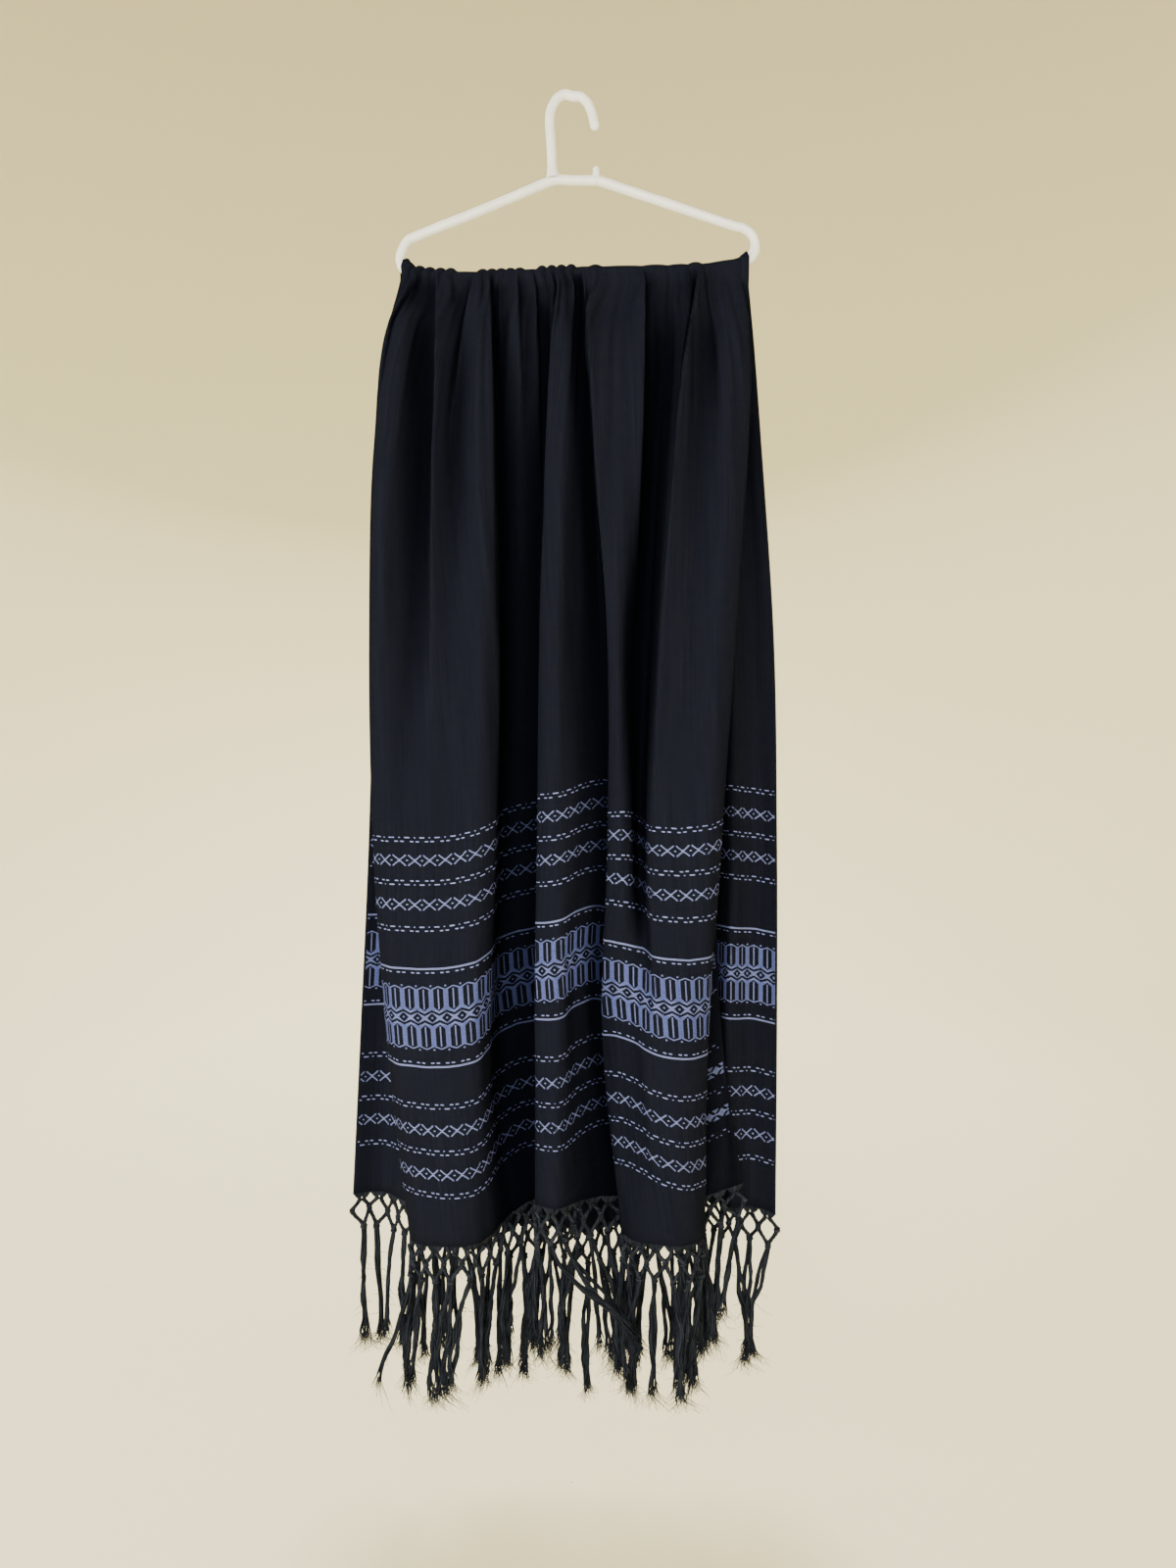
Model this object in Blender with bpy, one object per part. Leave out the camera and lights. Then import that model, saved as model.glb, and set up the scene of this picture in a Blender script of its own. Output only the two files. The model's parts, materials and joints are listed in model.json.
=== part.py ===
"""A rebozo shawl hung over the lower bar of a tubular plastic hanger.

The origin is where the hanger's hook rests: the top of the inside of its bend.
+Z is up, -Y is the front, +X is to the right as seen from the front. Metres.

One long cloth hangs over the bar as two falls, front and back. Each fall is a
thin wall drawn through level sections. A section is a smooth curve through the
fold lines, and each fold line has a row in a short table. Under each hem hang
a knotted net of two rows of cells and a row of two-strand tassels.
"""

import math
from collections import namedtuple

import bmesh
import bpy
import numpy as np

MM = 0.001

# Hanger, millimetres.
HOOK_RADIUS = 5.25           # of the hook's round section
FRAME_RADIUS = 5.25          # of the frame's tube
PEG_RADIUS = 3.8
PEG_TOP = (29.0, -75.5)      # across and height of the little peg's top
PEG_ROOT = (29.0, -90.0)
TUBE_SIDES = 10
HOOK_TIP_ROUND = 3           # rings that round the free tip
SEAT_GAP = 0.35              # between pieces that touch

# Centre line of the hook, from its foot on the frame to its free tip.
HOOK_LINE = (
    (-21.2, -85.9), (-22.2, -73.6), (-23.6, -46.4), (-24.9, -23.7),
    (-22.9, -9.0), (-16.6, 2.4), (-7.6, 7.4), (1.2, 5.25),
    (10.2, 4.9), (18.4, -2.0), (23.2, -12.2), (26.1, -23.5), (27.2, -28.7),
)

# Centre line of the frame, clockwise from the left end of its flat top.
FRAME_LINE = (
    (-19.0, -91.7), (4.0, -92.3), (28.0, -92.4), (36.5, -94.2),
    (120.0, -122.0), (186.0, -144.0), (199.0, -147.2),
    (208.5, -154.5), (212.8, -165.0), (211.5, -176.5), (203.5, -185.0), (190.0, -190.2),
    (160.0, -195.0), (120.0, -197.5), (19.0, -199.2), (-60.0, -203.0),
    (-117.0, -205.2), (-158.0, -204.4), (-181.0, -201.5),
    (-193.5, -195.5), (-198.3, -184.5), (-196.3, -174.0), (-190.5, -163.5), (-179.0, -156.8),
    (-106.0, -127.6), (-30.0, -95.5),
)
BAR_FIRST = 9                # frame points that make the lower bar
BAR_LAST = 20
BAR_SAMPLES = 1201

# Cloth, millimetres.
WALL = 1.2
BAR_CLEARANCE = 0.45         # between the bar and the cloth
CREST_LEFT = -188.0          # ends of the cloth on top of the bar, inside its bends
CREST_RIGHT = 202.0
FALL_GAP = 0.32              # between the two falls on the bar's crest
WRAP_ANGLES = (0.0, 35.0, 65.0)
FOLD_LEVELS = (206.0, 267.0, 408.0, 627.0, 856.0, 1085.0, 1303.0)
FRONT_SHARES = (0.0, 0.022, 0.06, 0.115, 0.186, 0.28, 0.385, 0.485, 0.575, 0.655, 0.73, 0.805,
                0.87, 0.935, 1.0)
HEM_BLEND_FROM = 0.6         # share of the fall where columns start to even out
BACK_SHARES = (0.0, 0.022, 0.06, 0.13, 0.22, 0.36, 0.52, 0.68, 0.84, 1.0)
SAMPLES_PER_FOLD = 12

# Each row is one fold line. across: mm from the hook, at each fold level.
# depth: mm from the bar's axis, outward, at each fold level. hem: mm below the
# hook's seat. columns: mesh columns to the next fold. round: 1 for a soft turn,
# less for a crease.
Fold = namedtuple("Fold", "name across depth hem columns round")

FRONT_FOLDS = (
    Fold("left_selvage", (-196, -204, -211, -214, -211, -195, -169),
         (6.4, 8, 10, 14, 16, 16, 16), 1303, 2, 1.0),
    Fold("left_turn", (-192, -209, -223, -228, -222, -206, -182),
         (6.4, 18, 32, 36, 38, 38, 34), 1303, 2, 1.0),
    Fold("left_ridge", (-180, -191, -208, -211, -204, -189, -167),
         (6.4, 27, 48, 56, 60, 64, 58), 1302, 3, 1.0),
    Fold("left_valley", (-167, -173, -180, -185, -184, -170, -149),
         (6.4, 10, 24, 48, 60, 72, 70), 1300, 3, 1.0),
    Fold("crease", (-157, -156, -154, -156, -160, -151, -135),
         (6.4, 25, 44, 58, 64, 76, 76), 1298, 3, 0.5),
    Fold("a_valley", (-132, -127, -131, -129, -132, -128, -120),
         (6.4, 14, 30, 54, 64, 79, 78), 1297, 2, 1.0),
    Fold("a_ridge", (-108, -105, -101, -94, -99, -105, -101),
         (6.4, 28, 52, 64, 68, 76, 70), 1297, 2, 1.0),
    Fold("a_edge", (-97, -93, -86, -81, -84, -91, -87),
         (6.4, 18, 36, 48, 54, 50, 50), 1294, 3, 0.8),
    Fold("dark_left", (-86, -87, -83, -80, -80, -81, -73),
         (6.4, 7, 9, 12, 10, 14, 28), 1286, 3, 1.0),
    Fold("dark_ridge", (-63, -63, -59, -58, -59, -63, -55),
         (6.4, 17, 21, 22, 18, 8, 10), 1276, 3, 1.0),
    Fold("b_under", (-34, -25, -22, -26, -27, -29, -30),
         (6.4, 8, 10, 10, 8, 2, 0), 1268, 3, 0.9),
    Fold("b_edge", (-26, -23, -28, -35, -38, -39, -40),
         (6.4, 21, 36, 48, 50, 52, 50), 1261, 3, 0.45),
    Fold("b_ridge", (-11, -8, -9, -11, -12, -16, -16),
         (6.4, 28, 48, 60, 64, 66, 62), 1262, 2, 1.0),
    Fold("b_slope", (5, 4, 6, 16, 19, 6, 9),
         (6.4, 16, 30, 42, 40, 38, 36), 1263, 2, 1.0),
    Fold("b_right", (13, 13, 19, 35, 38, 25, 37),
         (6.4, 11, 20, 28, 26, 22, 18), 1263, 3, 1.0),
    Fold("c_under", (19, 23, 34, 55, 60, 55, 76),
         (6.4, 8, 10, 14, 12, 6, 6), 1270, 4, 1.5),
    Fold("c_edge", (25, 15, 24, 41, 41, 36, 58),
         (6.4, 26, 42, 50, 48, 40, 38), 1298, 2, 0.6),
    Fold("c_ridge", (53, 53, 50, 53, 56, 57, 71),
         (6.4, 22, 42, 58, 58, 47, 62), 1297, 2, 1.0),
    Fold("c_right", (81, 82, 76, 64, 69, 74, 84),
         (6.4, 20, 38, 50, 48, 61, 76), 1295, 3, 0.6),
    Fold("d_valley", (110, 107, 96, 84, 77, 84, 96),
         (6.4, 8, 9, 14, 28, 74, 84), 1293, 3, 1.0),
    Fold("d_edge", (136, 127, 116, 101, 90, 96, 109),
         (6.4, 27, 46, 60, 63, 83, 87), 1293, 2, 0.5),
    Fold("d_soft", (153, 156, 148, 139, 129, 115, 120),
         (6.4, 14, 34, 54, 66, 86, 86), 1294, 3, 1.0),
    Fold("d_ridge", (179, 182, 176, 167, 153, 138, 135),
         (6.4, 26, 48, 62, 68, 77, 73), 1296, 2, 1.0),
    Fold("d_edge_right", (194, 203, 200, 184, 169, 153, 149),
         (6.4, 17, 36, 48, 50, 50, 48), 1298, 3, 0.8),
    Fold("d_under", (198, 197, 184, 162, 142, 127, 121),
         (6.4, 9.5, 14, 20, 24, 28, 30), 1288, 3, 1.5),
    Fold("margin", (202, 200.5, 188, 167, 151, 146, 156),
         (6.4, 7.5, 9, 13, 14, 15, 15), 1264, 2, 1.0),
    Fold("right_selvage", (205, 203, 192, 175, 166, 172, 203),
         (6.4, 7.5, 7, 8, 7, 2, -8), 1252, 0, 1.0),
)

BACK_FOLDS = (
    Fold("left_selvage", (-199, -216, -228, -233, -239, -250, -260),
         (6.4, 10, 16, 22, 26, 30, 30), 1277, 3, 1.0),
    Fold("turn_1", (-186, -200, -212, -217, -217, -224, -231),
         (6.4, 22, 38, 42, 42, 42, 42), 1278, 4, 1.0),
    Fold("inner_1", (-170, -175, -180, -183, -178, -183, -187),
         (6.4, 9, 12, 14, 14, 15, 15), 1282, 4, 1.0),
    Fold("ridge_2", (-154, -158, -159, -155, -150, -150, -152),
         (6.4, 26, 48, 50, 50, 48, 48), 1288, 5, 1.0),
    Fold("inner_2", (-134, -132, -125, -118, -116, -116, -116),
         (6.4, 9, 10, 12, 12, 12, 12), 1296, 4, 1.0),
    Fold("ridge_3", (-110, -110, -105, -98, -94, -93, -93),
         (6.4, 26, 48, 50, 50, 46, 46), 1302, 4, 1.0),
    Fold("inner_3", (-87, -86, -79, -72, -70, -73, -73),
         (6.4, 9, 10, 12, 15, 18, 20), 1308, 4, 1.0),
    Fold("ridge_4", (-61, -59, -54, -47, -40, -37, -33),
         (6.4, 28, 50, 53, 53, 54, 54), 1312, 5, 1.0),
    Fold("inner_4", (-31, -29, -22, -10, -1, 6, 12),
         (6.4, 9, 10, 12, 12, 14, 14), 1316, 5, 1.0),
    Fold("ridge_5", (-1, 3, 12, 24, 33, 40, 47),
         (6.4, 26, 46, 49, 49, 48, 48), 1317, 4, 1.0),
    Fold("inner_5", (26, 31, 40, 54, 63, 72, 79),
         (6.4, 9, 12, 14, 14, 14, 14), 1312, 5, 1.0),
    Fold("ridge_6", (56, 61, 71, 85, 95, 104, 109),
         (6.4, 24, 44, 48, 50, 50, 50), 1304, 4, 1.0),
    Fold("inner_6", (90, 92, 99, 113, 123, 132, 134),
         (6.4, 9, 12, 14, 16, 18, 20), 1296, 5, 1.0),
    Fold("ridge_7", (120, 126, 139, 154, 161, 163, 166),
         (6.4, 24, 46, 52, 56, 56, 56), 1290, 5, 1.0),
    Fold("panel_edge", (147, 159, 177, 189, 191, 183, 187),
         (6.4, 8, 11, 15, 17, 18, 22), 1290, 4, 0.6),
    Fold("panel_ridge", (181, 189, 207, 217, 221, 217, 217),
         (6.4, 14, 26, 32, 34, 34, 34), 1294, 3, 1.0),
    Fold("right_selvage", (206, 212, 223, 238, 242, 242, 240),
         (6.4, 9, 14, 20, 22, 22, 22), 1298, 0, 1.0),
)

# Gathers that stand up on the bar: runs of equal small pleats, left to right.
# start and end: mm from the hook. height: mm above the smooth wrap.
Gathers = namedtuple("Gathers", "start end pleats height")
GATHERS = (
    Gathers(-199, -139, 5, 4.2),
    Gathers(-139, -113, 1, 0.5),
    Gathers(-113, -58, 5, 3.0),
    Gathers(-58, -43, 1, 0.6),
    Gathers(-43, 3, 4, 4.0),
    Gathers(3, 19, 1, 0.8),
    Gathers(19, 33, 1, 2.6),
    Gathers(33, 82, 1, 0.8),
    Gathers(82, 112, 1, 1.4),
    Gathers(112, 136, 1, 1.4),
    Gathers(136, 152, 1, 2.4),
    Gathers(152, 197, 1, 0.6),
    Gathers(197, 208, 1, 2.2),
)
GATHER_REACH = 45.0          # how far below the bar they die away
GATHER_ROUND = 0.6           # power that makes round tops and tight notches

# Fringe, millimetres.
TASSELS = 34
NET_ROW = 19.0               # height of a row of net cells
STRIP_DROP = 0.7             # from the hem to the strip that joins the roots
STRIP_DEPTH = 3.0
STRIP_WALL = 1.6
ROOT_HALF = 4.0              # half of the width of a pair of cords at its root
KNOT_HALF = 3.3
KNOT_THICK = 3.4
TASSEL_LENGTHS = (122.0, 131.0, 117.0, 127.0, 135.0, 120.0, 129.0)
TASSEL_SWAYS = (3.0, -4.0, 1.5, 5.0, -2.0, -5.5, 2.5, 0.5, -1.5, 2.0, -1.0)
STRAND_SPREAD = 3.4          # each strand's free end from the tassel's middle
STRAND_WIDTH = 4.0
STRAND_STEPS = 3

# Surface colours: linear red, green, blue; roughness.
PLASTIC = ((0.80, 0.79, 0.75), 0.35)
CLOTH = ((0.012, 0.013, 0.018), 0.85)
CORD = ((0.014, 0.013, 0.015), 0.9)


def clear_scene():
    """Remove what the scene holds."""
    for item in list(bpy.data.objects):
        bpy.data.objects.remove(item, do_unlink=True)


def material(name, finish):
    """Make a plain Principled material."""
    colour, roughness = finish
    made = bpy.data.materials.new(name)
    made.use_nodes = True
    shader = made.node_tree.nodes["Principled BSDF"]
    shader.inputs["Base Color"].default_value = (*colour, 1.0)
    shader.inputs["Roughness"].default_value = roughness
    shader.inputs["Metallic"].default_value = 0.0
    return made


def add_object(name, points, faces, finish, smooth=True):
    """Make one closed object from points in millimetres and their faces."""
    mesh = bpy.data.meshes.new(name)
    mesh.from_pydata([tuple(value * MM for value in point) for point in points], [], faces)
    work = bmesh.new()
    work.from_mesh(mesh)
    bmesh.ops.recalc_face_normals(work, faces=work.faces)
    work.to_mesh(mesh)
    work.free()
    if smooth:
        mesh.shade_smooth()
        mesh.set_sharp_from_angle(angle=math.radians(50.0))
    mesh.materials.append(finish)
    made = bpy.data.objects.new(name, mesh)
    bpy.context.scene.collection.objects.link(made)
    return made


def smooth_line(points, steps, closed=False):
    """Points on a smooth curve through the given ones, `steps` for each span."""
    line = np.array(points, dtype=float)
    count = len(line)
    spans = count if closed else count - 1
    made = []
    for index in range(spans):
        if closed:
            before, start, end, after = (line[(index + k) % count] for k in (-1, 0, 1, 2))
        else:
            before, start, end, after = (line[min(max(index + k, 0), count - 1)]
                                         for k in (-1, 0, 1, 2))
        for step in range(steps):
            t = step / steps
            made.append(0.5 * (2 * start + (end - before) * t
                               + (2 * before - 5 * start + 4 * end - after) * t * t
                               + (3 * start - before - 3 * end + after) * t ** 3))
    if not closed:
        made.append(line[-1])
    return np.array(made)


def tube(line, radii, closed=False):
    """Points and faces of a round tube along a line in the plane of the hanger."""
    count = len(line)
    points = []
    faces = []
    for index in range(count):
        if closed:
            along = line[(index + 1) % count] - line[index - 1]
        else:
            along = line[min(index + 1, count - 1)] - line[max(index - 1, 0)]
        along = along / np.linalg.norm(along)
        side = np.array((-along[1], along[0]))
        for k in range(TUBE_SIDES):
            angle = 2.0 * math.pi * (k + 0.5) / TUBE_SIDES
            reach = radii[index] * math.cos(angle)
            points.append((line[index][0] + side[0] * reach,
                           radii[index] * math.sin(angle),
                           line[index][1] + side[1] * reach))
    for index in range(count if closed else count - 1):
        near = index * TUBE_SIDES
        far = ((index + 1) % count) * TUBE_SIDES
        for k in range(TUBE_SIDES):
            after = (k + 1) % TUBE_SIDES
            faces.append((near + k, near + after, far + after, far + k))
    if not closed:
        faces.append(tuple(range(TUBE_SIDES)))
        faces.append(tuple(range((count - 1) * TUBE_SIDES, count * TUBE_SIDES)))
    return points, faces


def build_hanger(finish):
    """The frame with its peg, and the hook that stands on it."""
    frame_line = smooth_line(FRAME_LINE, 1, closed=True)
    points, faces = tube(frame_line, [FRAME_RADIUS] * len(frame_line), closed=True)
    frame = add_object("hanger_frame", points, faces, finish)

    peg_line = np.array((PEG_ROOT, PEG_TOP))
    points, faces = tube(peg_line, [PEG_RADIUS] * len(peg_line))
    peg = add_object("peg_tool", points, faces, finish)
    peg.hide_render = True
    peg.display_type = "WIRE"
    joined = frame.modifiers.new("peg", "BOOLEAN")
    joined.operation = "UNION"
    joined.object = peg

    hook_line = smooth_line(HOOK_LINE, 2)
    foot = hook_line[0].copy()
    tip = hook_line[-1]
    onward = (tip - hook_line[-2]) / np.linalg.norm(tip - hook_line[-2])
    radii = [HOOK_RADIUS] * len(hook_line)
    rounded = []
    for ring in range(1, HOOK_TIP_ROUND + 1):
        angle = 0.42 * math.pi * ring / HOOK_TIP_ROUND
        rounded.append(tip + onward * HOOK_RADIUS * math.sin(angle))
        radii.append(HOOK_RADIUS * math.cos(angle))
    hook_line = np.vstack((hook_line, rounded))
    frame_top = np.interp(foot[0], (FRAME_LINE[0][0], FRAME_LINE[1][0]),
                          (FRAME_LINE[0][1], FRAME_LINE[1][1])) + FRAME_RADIUS
    hook_line[0][1] = frame_top + SEAT_GAP
    points, faces = tube(hook_line, radii)
    for k in range(TUBE_SIDES):
        points[k] = (points[k][0], points[k][1], frame_top + SEAT_GAP)
    add_object("hanger_hook", points, faces, finish)


def bar_height(across):
    """Height of the lower bar's axis at the given places across."""
    bar = sorted(FRAME_LINE[BAR_FIRST:BAR_LAST])
    return np.interp(across, [point[0] for point in bar], [point[1] for point in bar])


def crest_height(across, depth, radius):
    """Height of the top of a round sweep along the bar, a radius thick."""
    ends = np.array(FRAME_LINE[BAR_FIRST - 1:BAR_LAST + 1])
    place = np.linspace(0.0, len(ends) - 1.0, BAR_SAMPLES)
    line = np.stack([np.interp(place, np.arange(len(ends)), ends[:, k]) for k in (0, 1)], axis=1)
    squares = radius[:, None] ** 2 - depth[:, None] ** 2
    squares = squares - (across[:, None] - line[None, :, 0]) ** 2
    reach = np.where(squares > 0.0, np.sqrt(np.maximum(squares, 0.0)), -100.0)
    return np.max(line[None, :, 1] + reach, axis=1)


def gather_bumps(across):
    """How far the small pleats on the bar stand up at the given places."""
    bump = np.zeros_like(across)
    for run in GATHERS:
        inside = (across >= run.start) & (across < run.end)
        phase = (across - run.start) / (run.end - run.start) * run.pleats
        wave = np.abs(np.sin(np.pi * phase)) ** GATHER_ROUND
        bump = np.where(inside, run.height * wave, bump)
    return bump


def level_values(table, heights):
    """Smoothly read a table, a row for each fold, at the given depths below the seat."""
    levels = np.array(FOLD_LEVELS)
    values = np.array(table, dtype=float)
    steps = np.diff(levels)
    rates = np.diff(values, axis=1) / steps
    slopes = np.zeros_like(values)
    slopes[:, 1:-1] = (rates[:, :-1] * steps[1:] + rates[:, 1:] * steps[:-1]) \
        / (steps[1:] + steps[:-1])
    slopes[:, 0] = rates[:, 0]
    slopes[:, -1] = rates[:, -1]
    heights = np.clip(heights, levels[0], levels[-1])
    index = np.clip(np.searchsorted(levels, heights, side="right") - 1, 0, len(levels) - 2)
    span = steps[index]
    t = (heights - levels[index]) / span
    return (values[:, index] * (2 * t ** 3 - 3 * t ** 2 + 1)
            + slopes[:, index] * span * (t ** 3 - 2 * t ** 2 + t)
            + values[:, index + 1] * (-2 * t ** 3 + 3 * t ** 2)
            + slopes[:, index + 1] * span * (t ** 3 - t ** 2))


def fold_curve(folds, heights):
    """Across and depth of a level section, sampled evenly between fold lines.

    heights holds one depth below the seat for each sample.
    """
    count = len(folds)
    across = level_values([fold.across for fold in folds], heights)
    depth = level_values([fold.depth for fold in folds], heights)
    places = np.stack((across, depth))
    gaps = np.linalg.norm(np.diff(places, axis=1), axis=0)
    turns = np.empty_like(places)
    rates = np.diff(places, axis=1) / gaps
    turns[:, 0] = rates[:, 0]
    turns[:, -1] = rates[:, -1]
    turns[:, 1:-1] = (rates[:, :-1] * gaps[1:] + rates[:, 1:] * gaps[:-1]) \
        / (gaps[1:] + gaps[:-1])
    turns *= np.array([fold.round for fold in folds])[None, :, None]
    place = np.arange(len(heights)) / SAMPLES_PER_FOLD
    index = np.minimum(place.astype(int), count - 2)
    t = place - index
    pick = np.arange(len(heights))
    span = gaps[index, pick]
    return (places[:, index, pick] * (2 * t ** 3 - 3 * t ** 2 + 1)
            + turns[:, index, pick] * span * (t ** 3 - 2 * t ** 2 + t)
            + places[:, index + 1, pick] * (-2 * t ** 3 + 3 * t ** 2)
            + turns[:, index + 1, pick] * span * (t ** 3 - t ** 2))


def crest_radius(across):
    """Distance of the cloth's middle from the bar's axis."""
    return FRAME_RADIUS + BAR_CLEARANCE + WALL / 2 + gather_bumps(across)


def fall_row(folds, side, share, angle=90.0):
    """One row of a fall from selvage to selvage: points at each fold sample.

    share runs from 0 at the bar to 1 at the hem. angle, under 90 degrees, is a
    row on the bar itself. side is -1 for the front fall and 1 for the back one.
    """
    samples = (len(folds) - 1) * SAMPLES_PER_FOLD + 1
    top = np.full(samples, FOLD_LEVELS[0])
    across, _ = fold_curve(folds, top)
    radius = crest_radius(across)
    axis = bar_height(across)
    if angle < 90.0:
        turn = math.radians(angle)
        inside = np.interp(across, (across[0], across[-1]), (CREST_LEFT, CREST_RIGHT))
        across = across + (inside - across) * math.cos(turn)
        depth = radius * math.sin(turn)
        height = crest_height(across, depth, radius)
        depth = np.maximum(depth, FALL_GAP / 2)
        return np.stack((across, side * depth, height), axis=1)
    hems = np.interp(np.arange(samples) / SAMPLES_PER_FOLD, np.arange(len(folds)),
                     [fold.hem for fold in folds])
    below = -axis + share * (hems + axis)
    across, depth = fold_curve(folds, below)
    fade = np.clip(1.0 - share * (hems + axis) / GATHER_REACH, 0.0, 1.0) ** 2
    depth = depth + gather_bumps(across) * fade
    return np.stack((across, side * depth, -below), axis=1)


def column_places(folds):
    """Place of each mesh column, counted in fold lines."""
    places = []
    for index, fold in enumerate(folds):
        places.extend(index + step / fold.columns for step in range(fold.columns))
    places.append(float(len(folds) - 1))
    return np.array(places)


def even_place(row):
    """Place of each sample along a row as an even share of its length."""
    steps = np.linalg.norm(np.diff(row[:, :2], axis=0), axis=1)
    length = np.concatenate(((0.0,), np.cumsum(steps)))
    return length / length[-1]


def fall_grid(folds, shares, side):
    """Middle points of a fall: rows from the bar to the hem, columns left to right."""
    columns = column_places(folds)
    samples = np.arange((len(folds) - 1) * SAMPLES_PER_FOLD + 1) / SAMPLES_PER_FOLD
    evenly = np.linspace(0.0, 1.0, len(columns))
    rows = [(0.0, angle) for angle in WRAP_ANGLES] + [(share, 90.0) for share in shares]
    grid = []
    for share, angle in rows:
        row = fall_row(folds, side, share, angle)
        length = even_place(row)
        folded = np.interp(columns, samples, length)
        blend = min(max((share - HEM_BLEND_FROM) / (1.0 - HEM_BLEND_FROM), 0.0), 1.0)
        wanted = folded * (1.0 - blend) + evenly * blend
        grid.append(np.stack([np.interp(wanted, length, row[:, k]) for k in range(3)], axis=1))
    return np.array(grid)


def wall_triangles(grid):
    """Triangles over a fall's grid, each twisted square split along its shorter diagonal."""
    rows, columns = grid.shape[:2]
    numbers = np.arange(rows * columns).reshape(rows, columns)
    a, b = numbers[:-1, :-1].ravel(), numbers[:-1, 1:].ravel()
    d, c = numbers[1:, :-1].ravel(), numbers[1:, 1:].ravel()
    points = grid.reshape(-1, 3)
    falling = np.linalg.norm(points[a] - points[c], axis=1)
    rising = np.linalg.norm(points[b] - points[d], axis=1)
    shorter = (falling <= rising)[:, None]
    first = np.where(shorter, np.stack((a, b, c), axis=1), np.stack((a, b, d), axis=1))
    second = np.where(shorter, np.stack((a, c, d), axis=1), np.stack((b, c, d), axis=1))
    return np.concatenate((first, second))


def wall_normals(grid, triangles, side):
    """Unit normals of a fall's grid: the mean of the triangles around each point."""
    points = grid.reshape(-1, 3)
    corners = points[triangles]
    facing = np.cross(corners[:, 1] - corners[:, 0], corners[:, 2] - corners[:, 0])
    facing /= np.linalg.norm(facing, axis=1)[:, None]
    normals = np.zeros_like(points)
    for corner in range(3):
        np.add.at(normals, triangles[:, corner], facing)
    normals = normals.reshape(grid.shape)
    normals[-1, :, 2] = 0.0
    for row, angle in enumerate(WRAP_ANGLES + (90.0,)):
        turn = math.radians(angle)
        normals[row] = (0.0, math.sin(turn), side * math.cos(turn))
    return normals / np.linalg.norm(normals, axis=2)[:, :, None]


def build_fall(name, folds, shares, side, finish):
    """A wall of cloth on both sides of a fall's middle points."""
    grid = fall_grid(folds, shares, side)
    triangles = wall_triangles(grid)
    shift = wall_normals(grid, triangles, side) * (WALL / 2)
    rows, columns = grid.shape[:2]
    points = np.concatenate(((grid + shift).reshape(-1, 3), (grid - shift).reshape(-1, 3)))
    other = rows * columns
    faces = [tuple(triangle) for triangle in triangles.tolist()]
    faces += [tuple(other + index for index in reversed(triangle)) for triangle in faces]
    rim = [column for column in range(columns)]
    rim += [row * columns + columns - 1 for row in range(1, rows)]
    rim += [(rows - 1) * columns + column for column in range(columns - 2, -1, -1)]
    rim += [row * columns for row in range(rows - 2, 0, -1)]
    for index, start in enumerate(rim):
        end = rim[(index + 1) % len(rim)]
        faces.append((start, end, other + end, other + start))
    add_object(name, points, faces, finish)
    return grid[-1]


class HemLine:
    """The hem's middle line, read by the distance along the cloth's width."""

    def __init__(self, line):
        self.line = line
        self.length = len(line) - 1

    def at(self, place):
        """Point at a place counted in mesh columns, past the ends too."""
        inside = min(max(place, 0.0), float(self.length))
        index = min(int(inside), self.length - 1)
        start, end = self.line[index], self.line[index + 1]
        return start + (end - start) * (place - index if inside == place else inside - index)

    def frame(self, place):
        """Unit directions along the hem and out of the cloth, both level."""
        along = self.at(place + 0.5) - self.at(place - 0.5)
        along[2] = 0.0
        along /= np.linalg.norm(along)
        return along, np.array((along[1], -along[0], 0.0))

    def step(self, place):
        """Length of one column step near a place."""
        index = min(max(int(place), 0), self.length - 1)
        return np.linalg.norm((self.line[index + 1] - self.line[index])[:2])


class FringeMesh:
    """Collects the points and faces of one fringe, which is one closed body."""

    def __init__(self):
        self.points = []
        self.faces = []

    def pair(self, centre, out, thickness):
        """A front and a back point, `thickness` apart."""
        self.points.append(tuple(centre + out * thickness / 2))
        self.points.append(tuple(centre - out * thickness / 2))
        return (len(self.points) - 2, len(self.points) - 1)

    def bar(self, left_top, right_top, left_end, right_end):
        """Four side faces of a cord between two pairs of pairs."""
        self.faces.append((left_top[0], right_top[0], right_end[0], left_end[0]))
        self.faces.append((right_top[1], left_top[1], left_end[1], right_end[1]))
        self.faces.append((left_top[1], left_top[0], left_end[0], left_end[1]))
        self.faces.append((right_top[0], right_top[1], right_end[1], right_end[0]))

    def cap(self, left, right):
        """Close an end between two pairs."""
        self.faces.append((left[0], left[1], right[1], right[0]))

    def knot(self, centre, along, out):
        """A knot with four slanted sides: its left, top, right and bottom pairs."""
        half = KNOT_HALF
        rise = np.array((0.0, 0.0, half))
        left = self.pair(centre - along * half, out, KNOT_THICK)
        top = self.pair(centre + rise, out, KNOT_THICK)
        right = self.pair(centre + along * half, out, KNOT_THICK)
        bottom = self.pair(centre - rise, out, KNOT_THICK)
        self.faces.append((left[0], top[0], right[0], bottom[0]))
        self.faces.append((bottom[1], right[1], top[1], left[1]))
        return left, top, right, bottom


def add_strand(mesh, inner, outer, start, along, out, lean, length):
    """One strand of a tassel, from a side of its knot to a blunt free end."""
    pairs = (inner, outer)
    for step in range(1, STRAND_STEPS + 1):
        share = step / STRAND_STEPS
        bend = math.sin(share * math.pi * 0.5)
        centre = start + along * lean[0] * bend + out * lean[1] * bend
        centre = centre - np.array((0.0, 0.0, length * share))
        half = STRAND_WIDTH / 2 * (1.0 - 0.15 * share)
        left = mesh.pair(centre - along * half, out, half * 2)
        right = mesh.pair(centre + along * half, out, half * 2)
        mesh.bar(pairs[0], pairs[1], left, right)
        pairs = (left, right)
    mesh.cap(pairs[1], pairs[0])


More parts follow.
